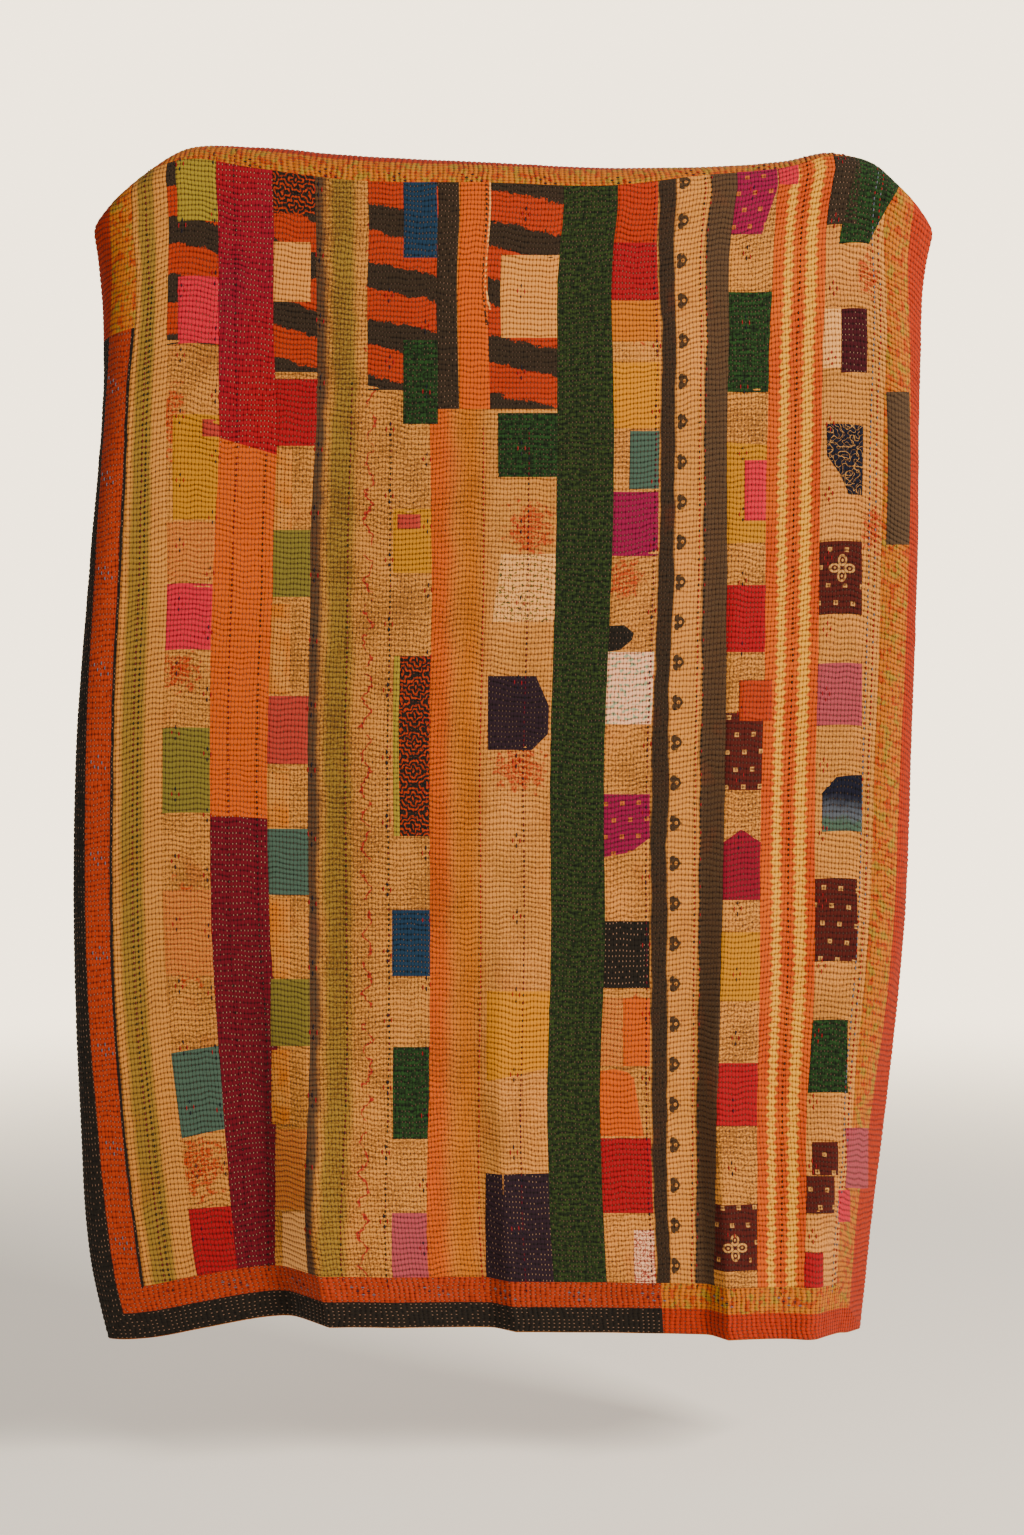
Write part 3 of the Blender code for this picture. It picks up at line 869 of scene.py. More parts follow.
def striped(name, ground, bands=(), stains=0.25, stipple=0.15, marks=(), waver=0.10):
    """A worn ground cloth with soft printed bands and faded orange marks. Each band is (from, to, dye,
    softness), in shares of the strip's width, and each mark is its middle and half sizes, in photo pixels."""
    r = Recipe(name)
    colour = r.mix(r.ramp(r.noise(0.16, 0.25, seed=11.0), 0.35, 0.65), dye(ground), dye("tan"))
    side = r.side + (r.noise(0.05, 0.08, seed=4.0) - 0.5) * waver
    for start, stop, tint, soft in bands:
        colour = r.mix(r.band(side, start, stop, soft), colour, dye(tint))
    patchy = r.ramp(r.noise(0.07, 0.09, seed=8.0, detail=4.0), 0.56, 0.72)
    colour = r.mix(patchy * stains * 0.6, colour, dye("rust"))
    speckle = r.noise(0.0045, 0.0035, seed=9.0) + (r.noise(0.07, 0.10, seed=10.0) - 0.5) * 0.45
    colour = r.mix(r.ramp(speckle, 0.47, 0.58) * stipple, colour, dye("brown"))
    for x, y, wide, tall in marks:
        across, down = flat_spot(x, y)
        off_x = (r.across - across) / (wide * PHOTO_SCALE)
        off_y = (r.down - down) / (tall * PHOTO_SCALE)
        ragged = r.noise(0.014, 0.012, seed=x, detail=3.0) * 3.2 - 1.6
        spread = r.ramp(r.math("SQRT", off_x * off_x + off_y * off_y) + ragged, 1.10, 0.65)
        drawn = r.ramp(r.absolute(r.noise(0.010, 0.008, seed=y) - 0.5), 0.015, 0.06) * 0.75 + 0.10
        colour = r.mix(spread * drawn, colour, dye("red_orange"))
    return r, colour


STRIP_CLOTHS = {
    # strip: ground, bands, share of stains, share of stippling
    "a": ("tan", ((0.16, 0.62, "olive", 0.07), (-0.3, 0.02, "brown", 0.05)), 0.25, 0.15),
    "b": ("tan", (), 0.6, 0.55),
    "d": ("tan", (), 0.35, 0.60),
    "e": ("tan", ((-0.3, 0.09, "grey_brown", 0.04), (0.13, 0.35, "olive", 0.05)), 0.15, 0.60),
    "j": ("peach", ((-0.3, 0.20, "orange", 0.12), (0.20, 0.42, "amber", 0.10)), 0.35, 0.35),
    "l": ("peach", (), 0.4, 0.55),
    "m": ("peach", ((0.015, 0.24, "charcoal", 0.02), (0.66, 1.3, "grey_brown", 0.02)), 0.15, 0.15),
    "p": ("tan", (), 0.15, 0.65),
    "r": ("peach", (), 0.25, 0.30),
}
VINE_PLACE = 0.48       # share of the strip's width
VINE_WAVE = 0.052
HEARTS_PLACE = 0.355    # share of the strip's width
HEART_STEP = 0.0698
HEART_SIZE = (0.0088, 0.0118)   # across the strip and down it
HEART_STRIP = 0.128     # width of the strip that carries them


def strip_materials():
    """One material for each strip."""
    made = {"c": crossed_cloth(), "k": mottled("k_cloth", "leaf", "dark_green"), "q": zigzag()}
    for name, (ground, bands, stains, stipple) in STRIP_CLOTHS.items():
        r, colour = striped(f"{name}_cloth", ground, bands, stains, stipple, STAINS.get(name, ()))
        if name == "e":
            colour = vine(r, colour, VINE_PLACE)
        if name == "m":
            colour = hearts(r, colour, HEARTS_PLACE)
        made[name] = r.sewn(colour, 0.10 if name == "m" else 0.05)
    return made


def vine(r, colour, place):
    """A thin red line that winds down the strip."""
    phase = r.down * (2 * np.pi / VINE_WAVE) + r.noise(0.5, 0.05, seed=21.0) * 6.0
    winding = r.math("SINE", phase) * 0.035
    off = r.absolute(r.side - place - winding - (r.noise(0.01, 0.012, seed=22.0) - 0.5) * 0.10)
    line = r.ramp(off, 0.014, 0.004) * r.ramp(r.noise(0.02, 0.03, seed=23.0), 0.38, 0.48)
    return r.mix(line * 0.9, colour, dye("red"))


def hearts(r, colour, place):
    """A column of small hearts on their sides, tips to the right, each with an eye, 70 mm apart."""
    tip = (r.side - place) * HEART_STRIP / HEART_SIZE[0]
    lobe = (r.fraction(r.down / HEART_STEP + 0.1) - 0.5) * HEART_STEP / HEART_SIZE[1]
    worn = (r.noise(0.004, seed=30.0) - 0.5) * 0.5
    round_part = tip * tip + lobe * lobe - 1.0
    heart = round_part * round_part * round_part + lobe * lobe * tip * tip * tip * 1.3
    ink = r.ramp(heart + worn * 0.4, 0.06, -0.06)
    from_eye = r.math("SQRT", tip * tip + lobe * lobe * 1.5)
    ink = r.math("MAXIMUM", ink * r.ramp(from_eye, 0.30, 0.36), r.band(from_eye, 0.13, 0.18, 0.03))
    ink = ink * r.ramp(r.absolute(tip), 1.7, 1.5)
    colour = r.mix(ink * 0.95, colour, dye("charcoal"))
    return r.mix(r.ramp(from_eye, 0.09, 0.05), colour, dye("red"))


CROSSED_JOINS = ((245, 446), (245, 817))


def crossed_cloth():
    """Strip c is three cloths, one above the other: crimson, orange and maroon."""
    r = Recipe("c_cloth")
    first, second = (flat_spot(*place)[1] for place in CROSSED_JOINS)
    slanting = r.down - r.side * 0.020
    colour = r.mix(r.ramp(r.noise(0.2, 0.4, seed=14.0), 0.3, 0.7), dye("crimson"), dye("red"))
    colour = r.mix(r.ramp(slanting, first - 0.011, first - 0.009), colour, dye("orange"))
    colour = r.mix(r.ramp(r.down, second - 0.001, second + 0.001), colour, dye("maroon"))
    light = r.ramp(r.down, first, first + 0.01) * r.ramp(r.down, second, second - 0.01)
    return r.sewn(colour, 0.50 - light * 0.35)


def mottled(name, light, dark):
    """A crumpled two-tone cloth."""
    r = Recipe(name)
    blot = r.ramp(r.noise(0.009, 0.006, seed=40.0, detail=4.0, rough=0.65), 0.40, 0.62)
    return r.sewn(r.mix(blot, dye(dark), dye(light)), 0.16)


def zigzag():
    """Orange cloth with two upright bands of pale zigzags."""
    r = Recipe("q_cloth")
    colour = r.mix(r.ramp(r.noise(0.10, 0.2, seed=50.0), 0.35, 0.65) * 0.6, dye("orange"), dye("red_orange"))
    tooth = r.absolute(r.fraction(r.down / 0.0155 + r.noise(0.03, seed=51.0)) - 0.5) * 2.0
    for place, width in ((0.30, 0.075), (0.73, 0.095)):
        off = r.absolute(r.side - place - (tooth - 0.5) * 0.07)
        worn = r.noise(0.006, 0.004, seed=52.0 + place)
        band = r.ramp(off, width + 0.03, width - 0.03) * (r.ramp(worn, 0.25, 0.45) * 0.6 + 0.4)
        colour = r.mix(band, colour, dye("pale_yellow"))
    return r.sewn(colour, 0.05)


def dyed_cloth():
    """Plain cloth whose colour each patch carries as its own attribute."""
    r = Recipe("dyed_cloth")
    return r.sewn(r.attribute("dye", colour=True))


def zebra_phase(x, y):
    """The phase that puts the middle of a dark band at a photo pixel."""
    across, down = flat_spot(x, y)
    return 0.5 - ((down - ZEBRA_SLOPE * across) / ZEBRA_PITCH) % 1.0


def zebra(name):
    """Ragged slanting bands of rust and brown-black. Each patch carries its phase as its fleck."""
    r = Recipe(name)
    ragged = (r.noise(0.004, 0.006, seed=60.0) - 0.5) * 0.16 + (r.noise(0.03, 0.03, seed=61.0) - 0.5) * 0.2
    turn = (r.down - r.across * ZEBRA_SLOPE) / ZEBRA_PITCH + r.attribute("fleck") + ragged
    bands = r.ramp(r.absolute(r.fraction(turn) - 0.5), 0.225, 0.235)
    ground = r.mix(r.noise(0.02, 0.004, seed=62.0), dye("rust"), dye("red_orange"))
    return r.sewn(r.mix(bands, dye("charcoal"), ground), 0.12)


def lattice(name, ground, ink, size):
    """Rows of nested flower shapes with curled edges, of the kind that block printers use."""
    r = Recipe(name)
    curl = (r.noise(size / 4, seed=70.0) - 0.5) * 0.22
    x = r.absolute(r.fraction(r.across / size + 0.2 + curl) - 0.5)
    y = r.absolute(r.fraction(r.down / size + curl) - 0.5)
    rings = r.math("SINE", (x * 0.8 + y) * 30.0 + r.math("SINE", x * 25.0 - y * 12.0) * 1.3)
    return r.sewn(r.mix(r.ramp(rings, 0.15, 0.45), dye(ground), dye(ink)), 0.06)


def sprigged(name, ground, ink, size, flowers=()):
    """A ground with staggered small hollow squares, and flowers of four looped petals. Each flower is its
    middle and its half width in photo pixels."""
    r = Recipe(name)
    row = r.math("FLOOR", r.down / size)
    x = r.absolute(r.fraction(r.across / size + row * 0.5 + 0.13) - 0.5)
    y = r.absolute(r.fraction(r.down / size) - 0.5)
    square = r.math("MAXIMUM", x, y) + (r.noise(0.004, seed=80.0) - 0.5) * 0.05
    drawn = r.band(square, 0.05, 0.125, 0.02) + r.ramp(square, 0.03, 0.01)
    for flower_x, flower_y, half in flowers:
        across, down = flat_spot(flower_x, flower_y)
        u = r.absolute((r.across - across) / (half * PHOTO_SCALE))
        v = r.absolute((r.down - down) / (half * PHOTO_SCALE))
        drawn = drawn * (r.math("MAXIMUM", u, v) > 1.15)
        for a, b in ((u, v), (v, u)):
            loop = r.math("SQRT", (a - 0.58) * (a - 0.58) * 5.7 + b * b * 9.0)
            drawn = r.math("MAXIMUM", drawn, r.band(loop, 0.62, 1.05, 0.08) + r.ramp(loop, 0.32, 0.22))
    return r.sewn(r.mix(drawn * 0.9, dye(ground), dye(ink)), 0.10)


def vined(name, ground, ink, size, width=0.02):
    """Curling leaf lines."""
    r = Recipe(name)
    line = r.ramp(r.absolute(r.noise(size, seed=90.0, detail=0.0) - 0.5), width, width * 0.4)
    twig = r.ramp(r.absolute(r.noise(size * 0.6, seed=91.0, detail=0.0) - 0.46), width, width * 0.4)
    return r.sewn(r.mix(r.math("MAXIMUM", line, twig) * 0.8, dye(ground), dye(ink)), 0.05)


def spotted(name, ground, ink, size, share):
    """A ground with small scattered spots."""
    r = Recipe(name)
    spots = r.ramp(r.noise(size, size * 0.8, seed=95.0, detail=1.0), share - 0.03, share + 0.03)
    return r.sewn(r.mix(spots * 0.85, dye(ground), dye(ink)), 0.03)


INK_ENDS = ((842, 776), (842, 832))


def dipped(name):
    """Cloth dipped in dark ink, faded in the middle and teal below."""
    r = Recipe(name)
    high, low = (flat_spot(*place)[1] for place in INK_ENDS)
    share = (r.down - high) / (low - high) + (r.noise(0.012, 0.02, seed=97.0) - 0.5) * 0.3
    colour = r.mix(r.ramp(share, 0.30, 0.70) * 0.55, dye("navy"), dye("blue_grey"))
    return r.sewn(r.mix(r.ramp(share, 0.68, 0.85), colour, dye("teal")), 0.08)


def chevrons(name, ground, ink):
    """Cloth whose stitches are picked out in dark red on a zigzag."""
    r = Recipe(name)
    slope = r.absolute(r.fraction(r.row / 8.0) - 0.5) * 8.0
    rows = r.absolute(r.math("SINE", (r.wave + slope * 0.5) * np.pi))
    dots = r.ramp(rows, 0.55, 0.20) * r.ramp(r.absolute(r.math("SINE", r.row * np.pi)), 0.75, 0.35)
    colour = r.mix(r.ramp(r.noise(0.05, seed=99.0), 0.3, 0.7), dye(ground), dye("tan"))
    return r.sewn(r.mix(dots * 0.75, colour, dye(ink)), 0.03)


def border_cloth(name, bands, spots=0.0, fleck=0.12):
    """A border strip: bands are (from, to, dye) in shares of its width, from the left or top edge. A band at
    an edge runs past it."""
    r = Recipe(name)
    side = r.side + (r.noise(0.006, 0.004, seed=100.0) - 0.5) * 0.03
    colour = dye(bands[0][2])
    for start, stop, tint in bands:
        colour = r.mix(r.band(side, start, stop, 0.012), colour, dye(tint))
    if spots:
        blots = r.ramp(r.noise(0.016, 0.022, seed=101.0, detail=3.0), 0.50, 0.62)
        red = r.ramp(r.noise(0.012, 0.016, seed=102.0, detail=3.0), 0.52, 0.60)
        low, high = next(band[:2] for band in bands if band[2] == "amber")
        within = r.band(side, low, high, 0.02)
        colour = r.mix(blots * within * spots, colour, dye("lime"))
        colour = r.mix(red * within * spots, colour, dye("red_orange"))
    streak = r.noise(0.004, 0.02, seed=103.0)
    return r.sewn(r.mix(r.ramp(streak, 0.40, 0.8) * 0.45, colour, BROWNED, "MULTIPLY"), fleck)


def thread_material():
    r = Recipe("thread")
    twist = r.noise(0.0012, 0.0006, seed=110.0)
    colour = r.mix(r.ramp(twist, 0.3, 0.8) * 0.35, r.attribute("dye", colour=True), TWIST_SHADE)
    r.fill(r.shader, {"Base Color": colour, "Roughness": 0.55 + twist * 0.25})
    return r.material


# Patches, in photo pixels

PLAIN_BOXES = (
    # dye, fleck, left x, right x, top y, bottom y
    ("lime", 0.03, 177, 217, 158, 222), ("hot_pink", 0.15, 178, 218, 277, 344),
    ("mustard", 0.03, 173, 216, 415, 520),
    ("pink", 0.10, 169, 212, 584, 650), ("moss", 0.03, 166, 210, 728, 813),
    ("peach", 0.05, 276, 311, 242, 302), ("red", 0.15, 278, 316, 379, 446),
    ("salmon", 0.10, 269, 308, 696, 764), ("teal", 0.05, 271, 309, 829, 895),
    ("moss", 0.03, 273, 311, 530, 597), ("moss", 0.03, 271, 309, 979, 1046),
    ("cream", 0.03, 283, 308, 1212, 1270),
    ("blue", 0.20, 403, 437, 195, 258), ("mustard", 0.03, 393, 429, 509, 573),
    ("lime", 0.05, 394, 400, 656, 836),
    ("blue", 0.20, 392, 427, 910, 976), ("mauve", 0.08, 392, 428, 1213, 1270),
    ("charcoal", 0.25, 438, 459, 193, 409), ("orange", 0.05, 460, 490, 193, 409),
    ("peach", 0.03, 501, 563, 255, 338), ("red_orange", 0.10, 618, 658, 190, 242),
    ("red", 0.25, 617, 659, 242, 300), ("amber", 0.05, 615, 659, 300, 341),
    ("yellow", 0.03, 615, 659, 362, 428), ("magenta", 0.20, 608, 655, 492, 556),
    ("black", 0.45, 602, 649, 921, 988), ("orange", 0.10, 623, 648, 998, 1066),
    ("red", 0.15, 606, 652, 1138, 1213), ("pink", 0.15, 781, 798, 164, 184),
    ("red", 0.12, 728, 765, 585, 652),
    ("mustard", 0.03, 721, 759, 932, 1001), ("red", 0.10, 717, 757, 1063, 1126),
    ("charcoal", 0.30, 829, 857, 158, 225),
    ("cream", 0.03, 827, 841, 309, 368), ("wine", 0.35, 841, 867, 309, 373),
    ("mauve", 0.10, 820, 862, 664, 726), ("red", 0.12, 806, 823, 1252, 1290),
    ("grey_brown", 0.08, 886, 909, 392, 545), ("mauve", 0.10, 845, 868, 1128, 1188),
    ("pink", 0.10, 838, 850, 1190, 1222),
)
INSETS = (
    ("salmon", 0.05, 202, 218, 419, 437), ("salmon", 0.05, 397, 421, 514, 529),
    ("hot_pink", 0.10, 744, 765, 460, 521), ("rust", 0.08, 739, 772, 680, 721),
)
PLAIN_SHAPES = (
    # dye, fleck, left side, right side, and the top and bottom where they aren't straight, as runs of x, y
    ("teal", 0.04, ((174, 1053), (184, 1138)), ((217, 1046), (225, 1129))),
    ("red", 0.08, ((190, 1209), (200, 1277)), ((231, 1206), (238, 1270))),
    ("charcoal", 0.15, ((485, 196), (481, 287), (485, 326)), ((488.5, 196), (484, 287), (488.5, 326))),
    ("cream", 0.02, ((488.7, 196), (484.2, 287), (488.7, 310)), ((491, 196), (486.5, 287), (491, 310))),
    ("purple", 0.20, ((488, 676), (488, 750)), ((536, 676), (549, 706), (548, 734), (532, 750))),
    ("yellow", 0.03, ((487, 991), (487, 1081)), ((551, 991), (552, 1068))),
    ("purple", 0.40, ((486, 1173), (486, 1276)), ((546, 1173), (553, 1186), (553, 1276))),
    ("teal", 0.06, ((630, 431), (629, 489)), ((659, 431), (657, 489))),
    ("black", 0.15, ((606, 626), (603, 652)), ((624, 625), (634, 633), (632, 640), (620, 650))),
    ("orange", 0.08, ((604, 1071), (604, 1136)), ((634, 1078), (644, 1136)),
     ((604, 1071), (616, 1069), (628, 1072), (634, 1078))),
    ("mustard", 0.03, ((727, 442), (728, 500), (738, 543)), ((767, 445), (766, 500), (752, 543))),
    ("crimson", 0.10, ((724, 842), (723, 900)), ((759, 842), (757, 900)),
     ((724, 842), (741, 829), (759, 842))),
)
ZEBRA_BOXES = (
    # left x, right x, top y, bottom y, and a place in the middle of a dark band
    (168, 217, 158, 345, 192, 232), (275, 314, 186, 372, 294, 317), (368, 438, 194, 390, 367, 216.5),
    (490, 563, 190, 409, 490, 233),
)
PRINTED_BOXES = {
    # left x, right x, top y, bottom y
    "mottled_green": ((403, 438, 340, 424), (393, 428, 1047, 1139), (728, 768, 292, 392),
                      (839, 869, 154, 244), (810, 848, 1020, 1093)),
    "lattice_cloth": ((400, 426, 656, 836), (276, 313, 186, 214)),
    "sprigged_cloth": ((725, 762, 713, 790), (823, 862, 542, 615), (818, 857, 879, 962),
                       (812, 838, 1142, 1175), (804, 834, 1176, 1213), (717, 757, 1204, 1270)),
    "minted_cloth": ((602, 652, 652, 724),),
    "blush_print": ((634, 653, 1230, 1270),),
    "chevron_tan": ((274, 292, 450, 530), (272, 290, 604, 694), (271, 289, 768, 828),
                    (272, 290, 898, 978), (272, 290, 1050, 1124)),
    "check_cloth": ((166, 212, 890, 976), (166, 212, 522, 582), (277, 305, 1129, 1210),
                    (605, 622, 998, 1066)),
}
PRINTED_SHAPES = {
    "magenta_cloth": (
        (((604, 794), (604, 857)), ((651, 794), (651, 838)), None, ((604, 857), (632, 852), (651, 838))),
        (((737, 176), (735, 234)), ((777, 190), (762, 234)), ((737, 176), (755, 175), (777, 190)))),
    "vined_cloth": ((((826, 424), (827, 456), (840, 474), (849, 495)), ((863, 426), (862, 495))),),
    "mottled_green": ((((498, 413), (498, 477)), ((562, 413), (557, 477))),),
    "ink_cloth": (
        (((822, 792), (822, 832)), ((862, 775), (862, 832)), ((822, 793), (836, 777), (862, 775))),),
    "dotted_cloth": ((((501, 554), (492, 622)), ((557, 554), (556, 622))),),
}
SPRIG_FLOWERS = ((842, 568, 13), (735, 1248, 13))
PRINTS = {
    # cloth: how it is printed, and its dyes and sizes
    "mottled_green": (mottled, "green", "dark_green"),
    "zebra_cloth": (zebra,),
    "lattice_cloth": (lattice, "black", "rust", 0.049),
    "sprigged_cloth": (sprigged, "bark", "straw", 0.030, SPRIG_FLOWERS),
    "vined_cloth": (vined, "navy", "straw", 0.016, 0.022),
    "blush_print": (vined, "blush", "red", 0.010, 0.05),
    "magenta_cloth": (sprigged, "magenta", "amber", 0.029),
    "ink_cloth": (dipped,),
    "minted_cloth": (spotted, "blush", "mint", 0.009, 0.58),
    "dotted_cloth": (spotted, "cream", "green", 0.0055, 0.60),
    "chevron_tan": (chevrons, "amber", "maroon"),
    "check_cloth": (lattice, "tan", "red_orange", 0.012),
}


class QUILT_OT_backing(bpy.types.Operator):
    """Make the plain backing cloth"""
    bl_idname = "quilt.backing"
    bl_label = "Backing"

    def execute(self, context):
        cloth = Cloth("backing")
        cloth.add(level_at(0.0), level_at(WIDTH), level_at(0.0), level_at(LENGTH + HEM_SHOWN),
                  lines=BACKING_LINES, column=BACKING_COLUMN, steps=BACKING_STEPS, behind=True)
        r, colour = striped("backing_cloth", "amber", [(0.33, 0.71, "peach", 0.001)],
                            stipple=0.2, waver=0.006)
        piece = cloth.finish(r.sewn(colour, 0.25))
        settle(piece, ("field",))
        return {"FINISHED"}


class QUILT_OT_strips(bpy.types.Operator):
    """Make the twelve long strips of the field"""
    bl_idname = "quilt.strips"
    bl_label = "Strips"

    def execute(self, context):
        materials = strip_materials()
        for name, left, right in STRIPS:
            cloth = Cloth(f"strip_{name}")
            cloth.add(along_seam(left), along_seam(right), level_at(BORDER), level_at(LENGTH - BORDER))
            piece = cloth.finish(materials[name])
            settle(piece, ("field",))
            down = np.linspace(BORDER, LENGTH - BORDER, 50)
            widest = float((seam(right, down) - seam(left, down)).max())
        return {"FINISHED"}


class QUILT_OT_borders(bpy.types.Operator):
    """Make the border strips"""
    bl_idname = "quilt.borders"
    bl_label = "Borders"

    def execute(self, context):
        gold_left = border_cloth("gold_left", [(-1, 0.5, "red_orange"), (0.5, 2, "amber")], spots=0.75)
        gold_right = border_cloth("gold_right", [(0.5, 2, "red_orange"), (-1, 0.5, "amber")], spots=0.75)
        dark_left = border_cloth("dark_left", [(-1, 0.49, "black"), (0.49, 0.95, "rust"), (0.95, 2, "black")],
                                 fleck=0.35)
        dark_hem = border_cloth("dark_hem", [(0.5, 2, "black"), (-1, 0.5, "rust")], fleck=0.35)
        inner = LENGTH - BORDER
        left_top, right_top = (float(seam(name, np.array([BORDER]))[0]) for name in ("left", "right"))
        left_low, right_low = (float(seam(name, np.array([inner]))[0]) for name in ("left", "right"))

        def slant(start, end):
            return lambda s: start + (end - start) * s

        borders = (
            # node, cloth, slot, whether the ridges run across, then the four limits
            ("border_left_top", gold_left, "border_gold", True, level_at(0.0), along_seam("left"),
             slant(0.0, BORDER), level_at(LEFT_JOIN)),
            ("border_left", dark_left, "border_rust", True, level_at(0.0), along_seam("left"),
             level_at(LEFT_JOIN), slant(LENGTH, inner)),
            ("border_right", gold_right, "border_gold", True, along_seam("right"), level_at(WIDTH),
             slant(BORDER, 0.0), slant(inner, LENGTH)),
            ("border_top", gold_left, "border_gold", False, level_at(0.0), level_at(BORDER),
             slant(0.0, left_top), slant(WIDTH, right_top)),
            ("border_bottom_dark", dark_hem, "border_rust", False, level_at(inner), level_at(LENGTH),
             slant(left_low, 0.0), level_at(HEM_JOIN)),
            ("border_bottom_gold", gold_right, "border_gold", False, level_at(inner), level_at(LENGTH),
             level_at(HEM_JOIN), slant(right_low, WIDTH)),
        )
        for name, material, slot, level, left, right, top, bottom in borders:
            cloth = Cloth(f"cloth_{name}")
            cloth.add(left, right, top, bottom, level=level)
            piece = cloth.finish(material)
            settle(piece, (name,))
            long = float(bottom(np.array([0.0, 1.0])).max() - top(np.array([0.0, 1.0])).min())
        return {"FINISHED"}


class QUILT_OT_patches(bpy.types.Operator):
    """Make the sewn-on patches"""
    bl_idname = "quilt.patches"
    bl_label = "Patches"

    def execute(self, context):
        lift = context.scene.quilt_sizes.patch_lift
        for name, (printed, *values) in PRINTS.items():
            cloth = Cloth(f"patches_{name}")
            zebra_boxes = ZEBRA_BOXES if name == "zebra_cloth" else ()
            for *box, band_x, band_y in zebra_boxes:
                cloth.add(*snug(*box_patch(*box)), lift=lift * ZEBRA_LIFT, back=PATCH_BACK,
                          fleck=zebra_phase(band_x, band_y))
            for box in PRINTED_BOXES.get(name, ()):
                cloth.add(*snug(*box_patch(*box)), lift=lift, back=PATCH_BACK)
            for outline in PRINTED_SHAPES.get(name, ()):
                cloth.add(*snug(*shaped(*outline)), lift=lift, back=PATCH_BACK)
            self.keep(cloth, printed(name, *values))
        cloth = Cloth("patches_plain")
        for chart, outlined, share, back in ((PLAIN_BOXES, box_patch, 1.0, PATCH_BACK),
                                             (PLAIN_SHAPES, shaped, 1.0, PATCH_BACK),
                                             (INSETS, box_patch, INSET_LIFT, INSET_BACK)):
            for tint, fleck, *outline in chart:
                cloth.add(*snug(*outlined(*outline)), lift=lift * share, back=back, dye=dye(tint),
                          fleck=fleck)
        self.keep(cloth, dyed_cloth())
        return {"FINISHED"}

    def keep(self, cloth, material):
        piece = cloth.finish(material)
        settle(piece, ("field",))


# Coloured stitches
STITCH_ROWS = np.arange(150.0, 1330.0, 4.0)     # photo heights whose place down the strips is looked up
STITCH_COLUMN = 525.0
MOTIFS_END = 1285
LEFT_MOTIFS = np.arange(0.45, 2.0, 0.165)       # down, on the left border
LEFT_MOTIFS_ACROSS = LEFT_BORDER * 0.72
LEVEL_MOTIFS = np.arange(0.30, 1.45, 0.131)     # across, on the top border and the hem
TOP_MOTIFS_DOWN = BORDER * 0.90
HEM_MOTIFS_DOWN = LENGTH - BORDER * 0.72
HEM_MOTIFS_SHIFT = 0.05                         # how far those of the hem stand to the left
DIAMOND = ((0, -1), (-1, 0), (1, 0), (0, 1), (-2, -1), (2, 1))
DOTTED_SIZE = 0.62      # length of a stitch in a dotted line, as a share of one in a strip's motif
DIAMOND_SIZE = 0.7
OTHER_THREAD = 5        # one stitch in so many of a dotted line is in its second thread
STITCH_ARCH = 0.0005
STITCH_RISE = (0.75, 0.6)   # height of the stitches over the grooves, in ridges and in patch lifts
STITCH_ENDS = 0.0004    # how far the ends of a stitch are pulled into the cloth
DOTTED_LINES = (
    # strip, share of its width, thread, second thread, top y, bottom y
    ("a", 0.40, "maroon", "black", 170, 1290), ("a", 0.50, "black", "maroon", 300, 1290),
    ("c", 0.32, "maroon", "black", 170, 1290), ("c", 0.82, "black", "maroon", 470, 1290),
    ("e", 0.31, "maroon", "black", 390, 1290), ("j", 0.78, "maroon", "navy", 430, 1290),
    ("j", 0.42, "red", "maroon", 430, 1290), ("m", 0.60, "red", "navy", 190, 1290),
    ("m", 0.68, "black", "red", 190, 1290), ("r", 0.80, "blue_grey", "red", 170, 1290),
    ("q", 0.52, "black", "rust", 170, 1290), ("r", 0.90, "red", "blue_grey", 170, 1290),
    ("l", 0.93, "maroon", "black", 190, 1290), ("e", 0.66, "black", "maroon", 430, 1290),
)
MOTIF_COLUMNS = (
    # strip, share of its width, first y, step, upright thread, side thread
    ("b", 0.27, 190, 62, "navy", "red"), ("b", 0.94, 179, 59, "navy", "red"),
    ("e", 0.03, 196, 65, "navy", "red"), ("e", 0.65, 300, 66, "navy", "red"),
    ("e", 0.97, 330, 66, "navy", "red"), ("j", 0.72, 215, 78, "navy", "red"),
    ("l", 0.92, 285, 66, "navy", "red"), ("p", 0.40, 206, 64, "navy", "red"),
    ("r", 0.14, 190, 65, "red", "red"),
)


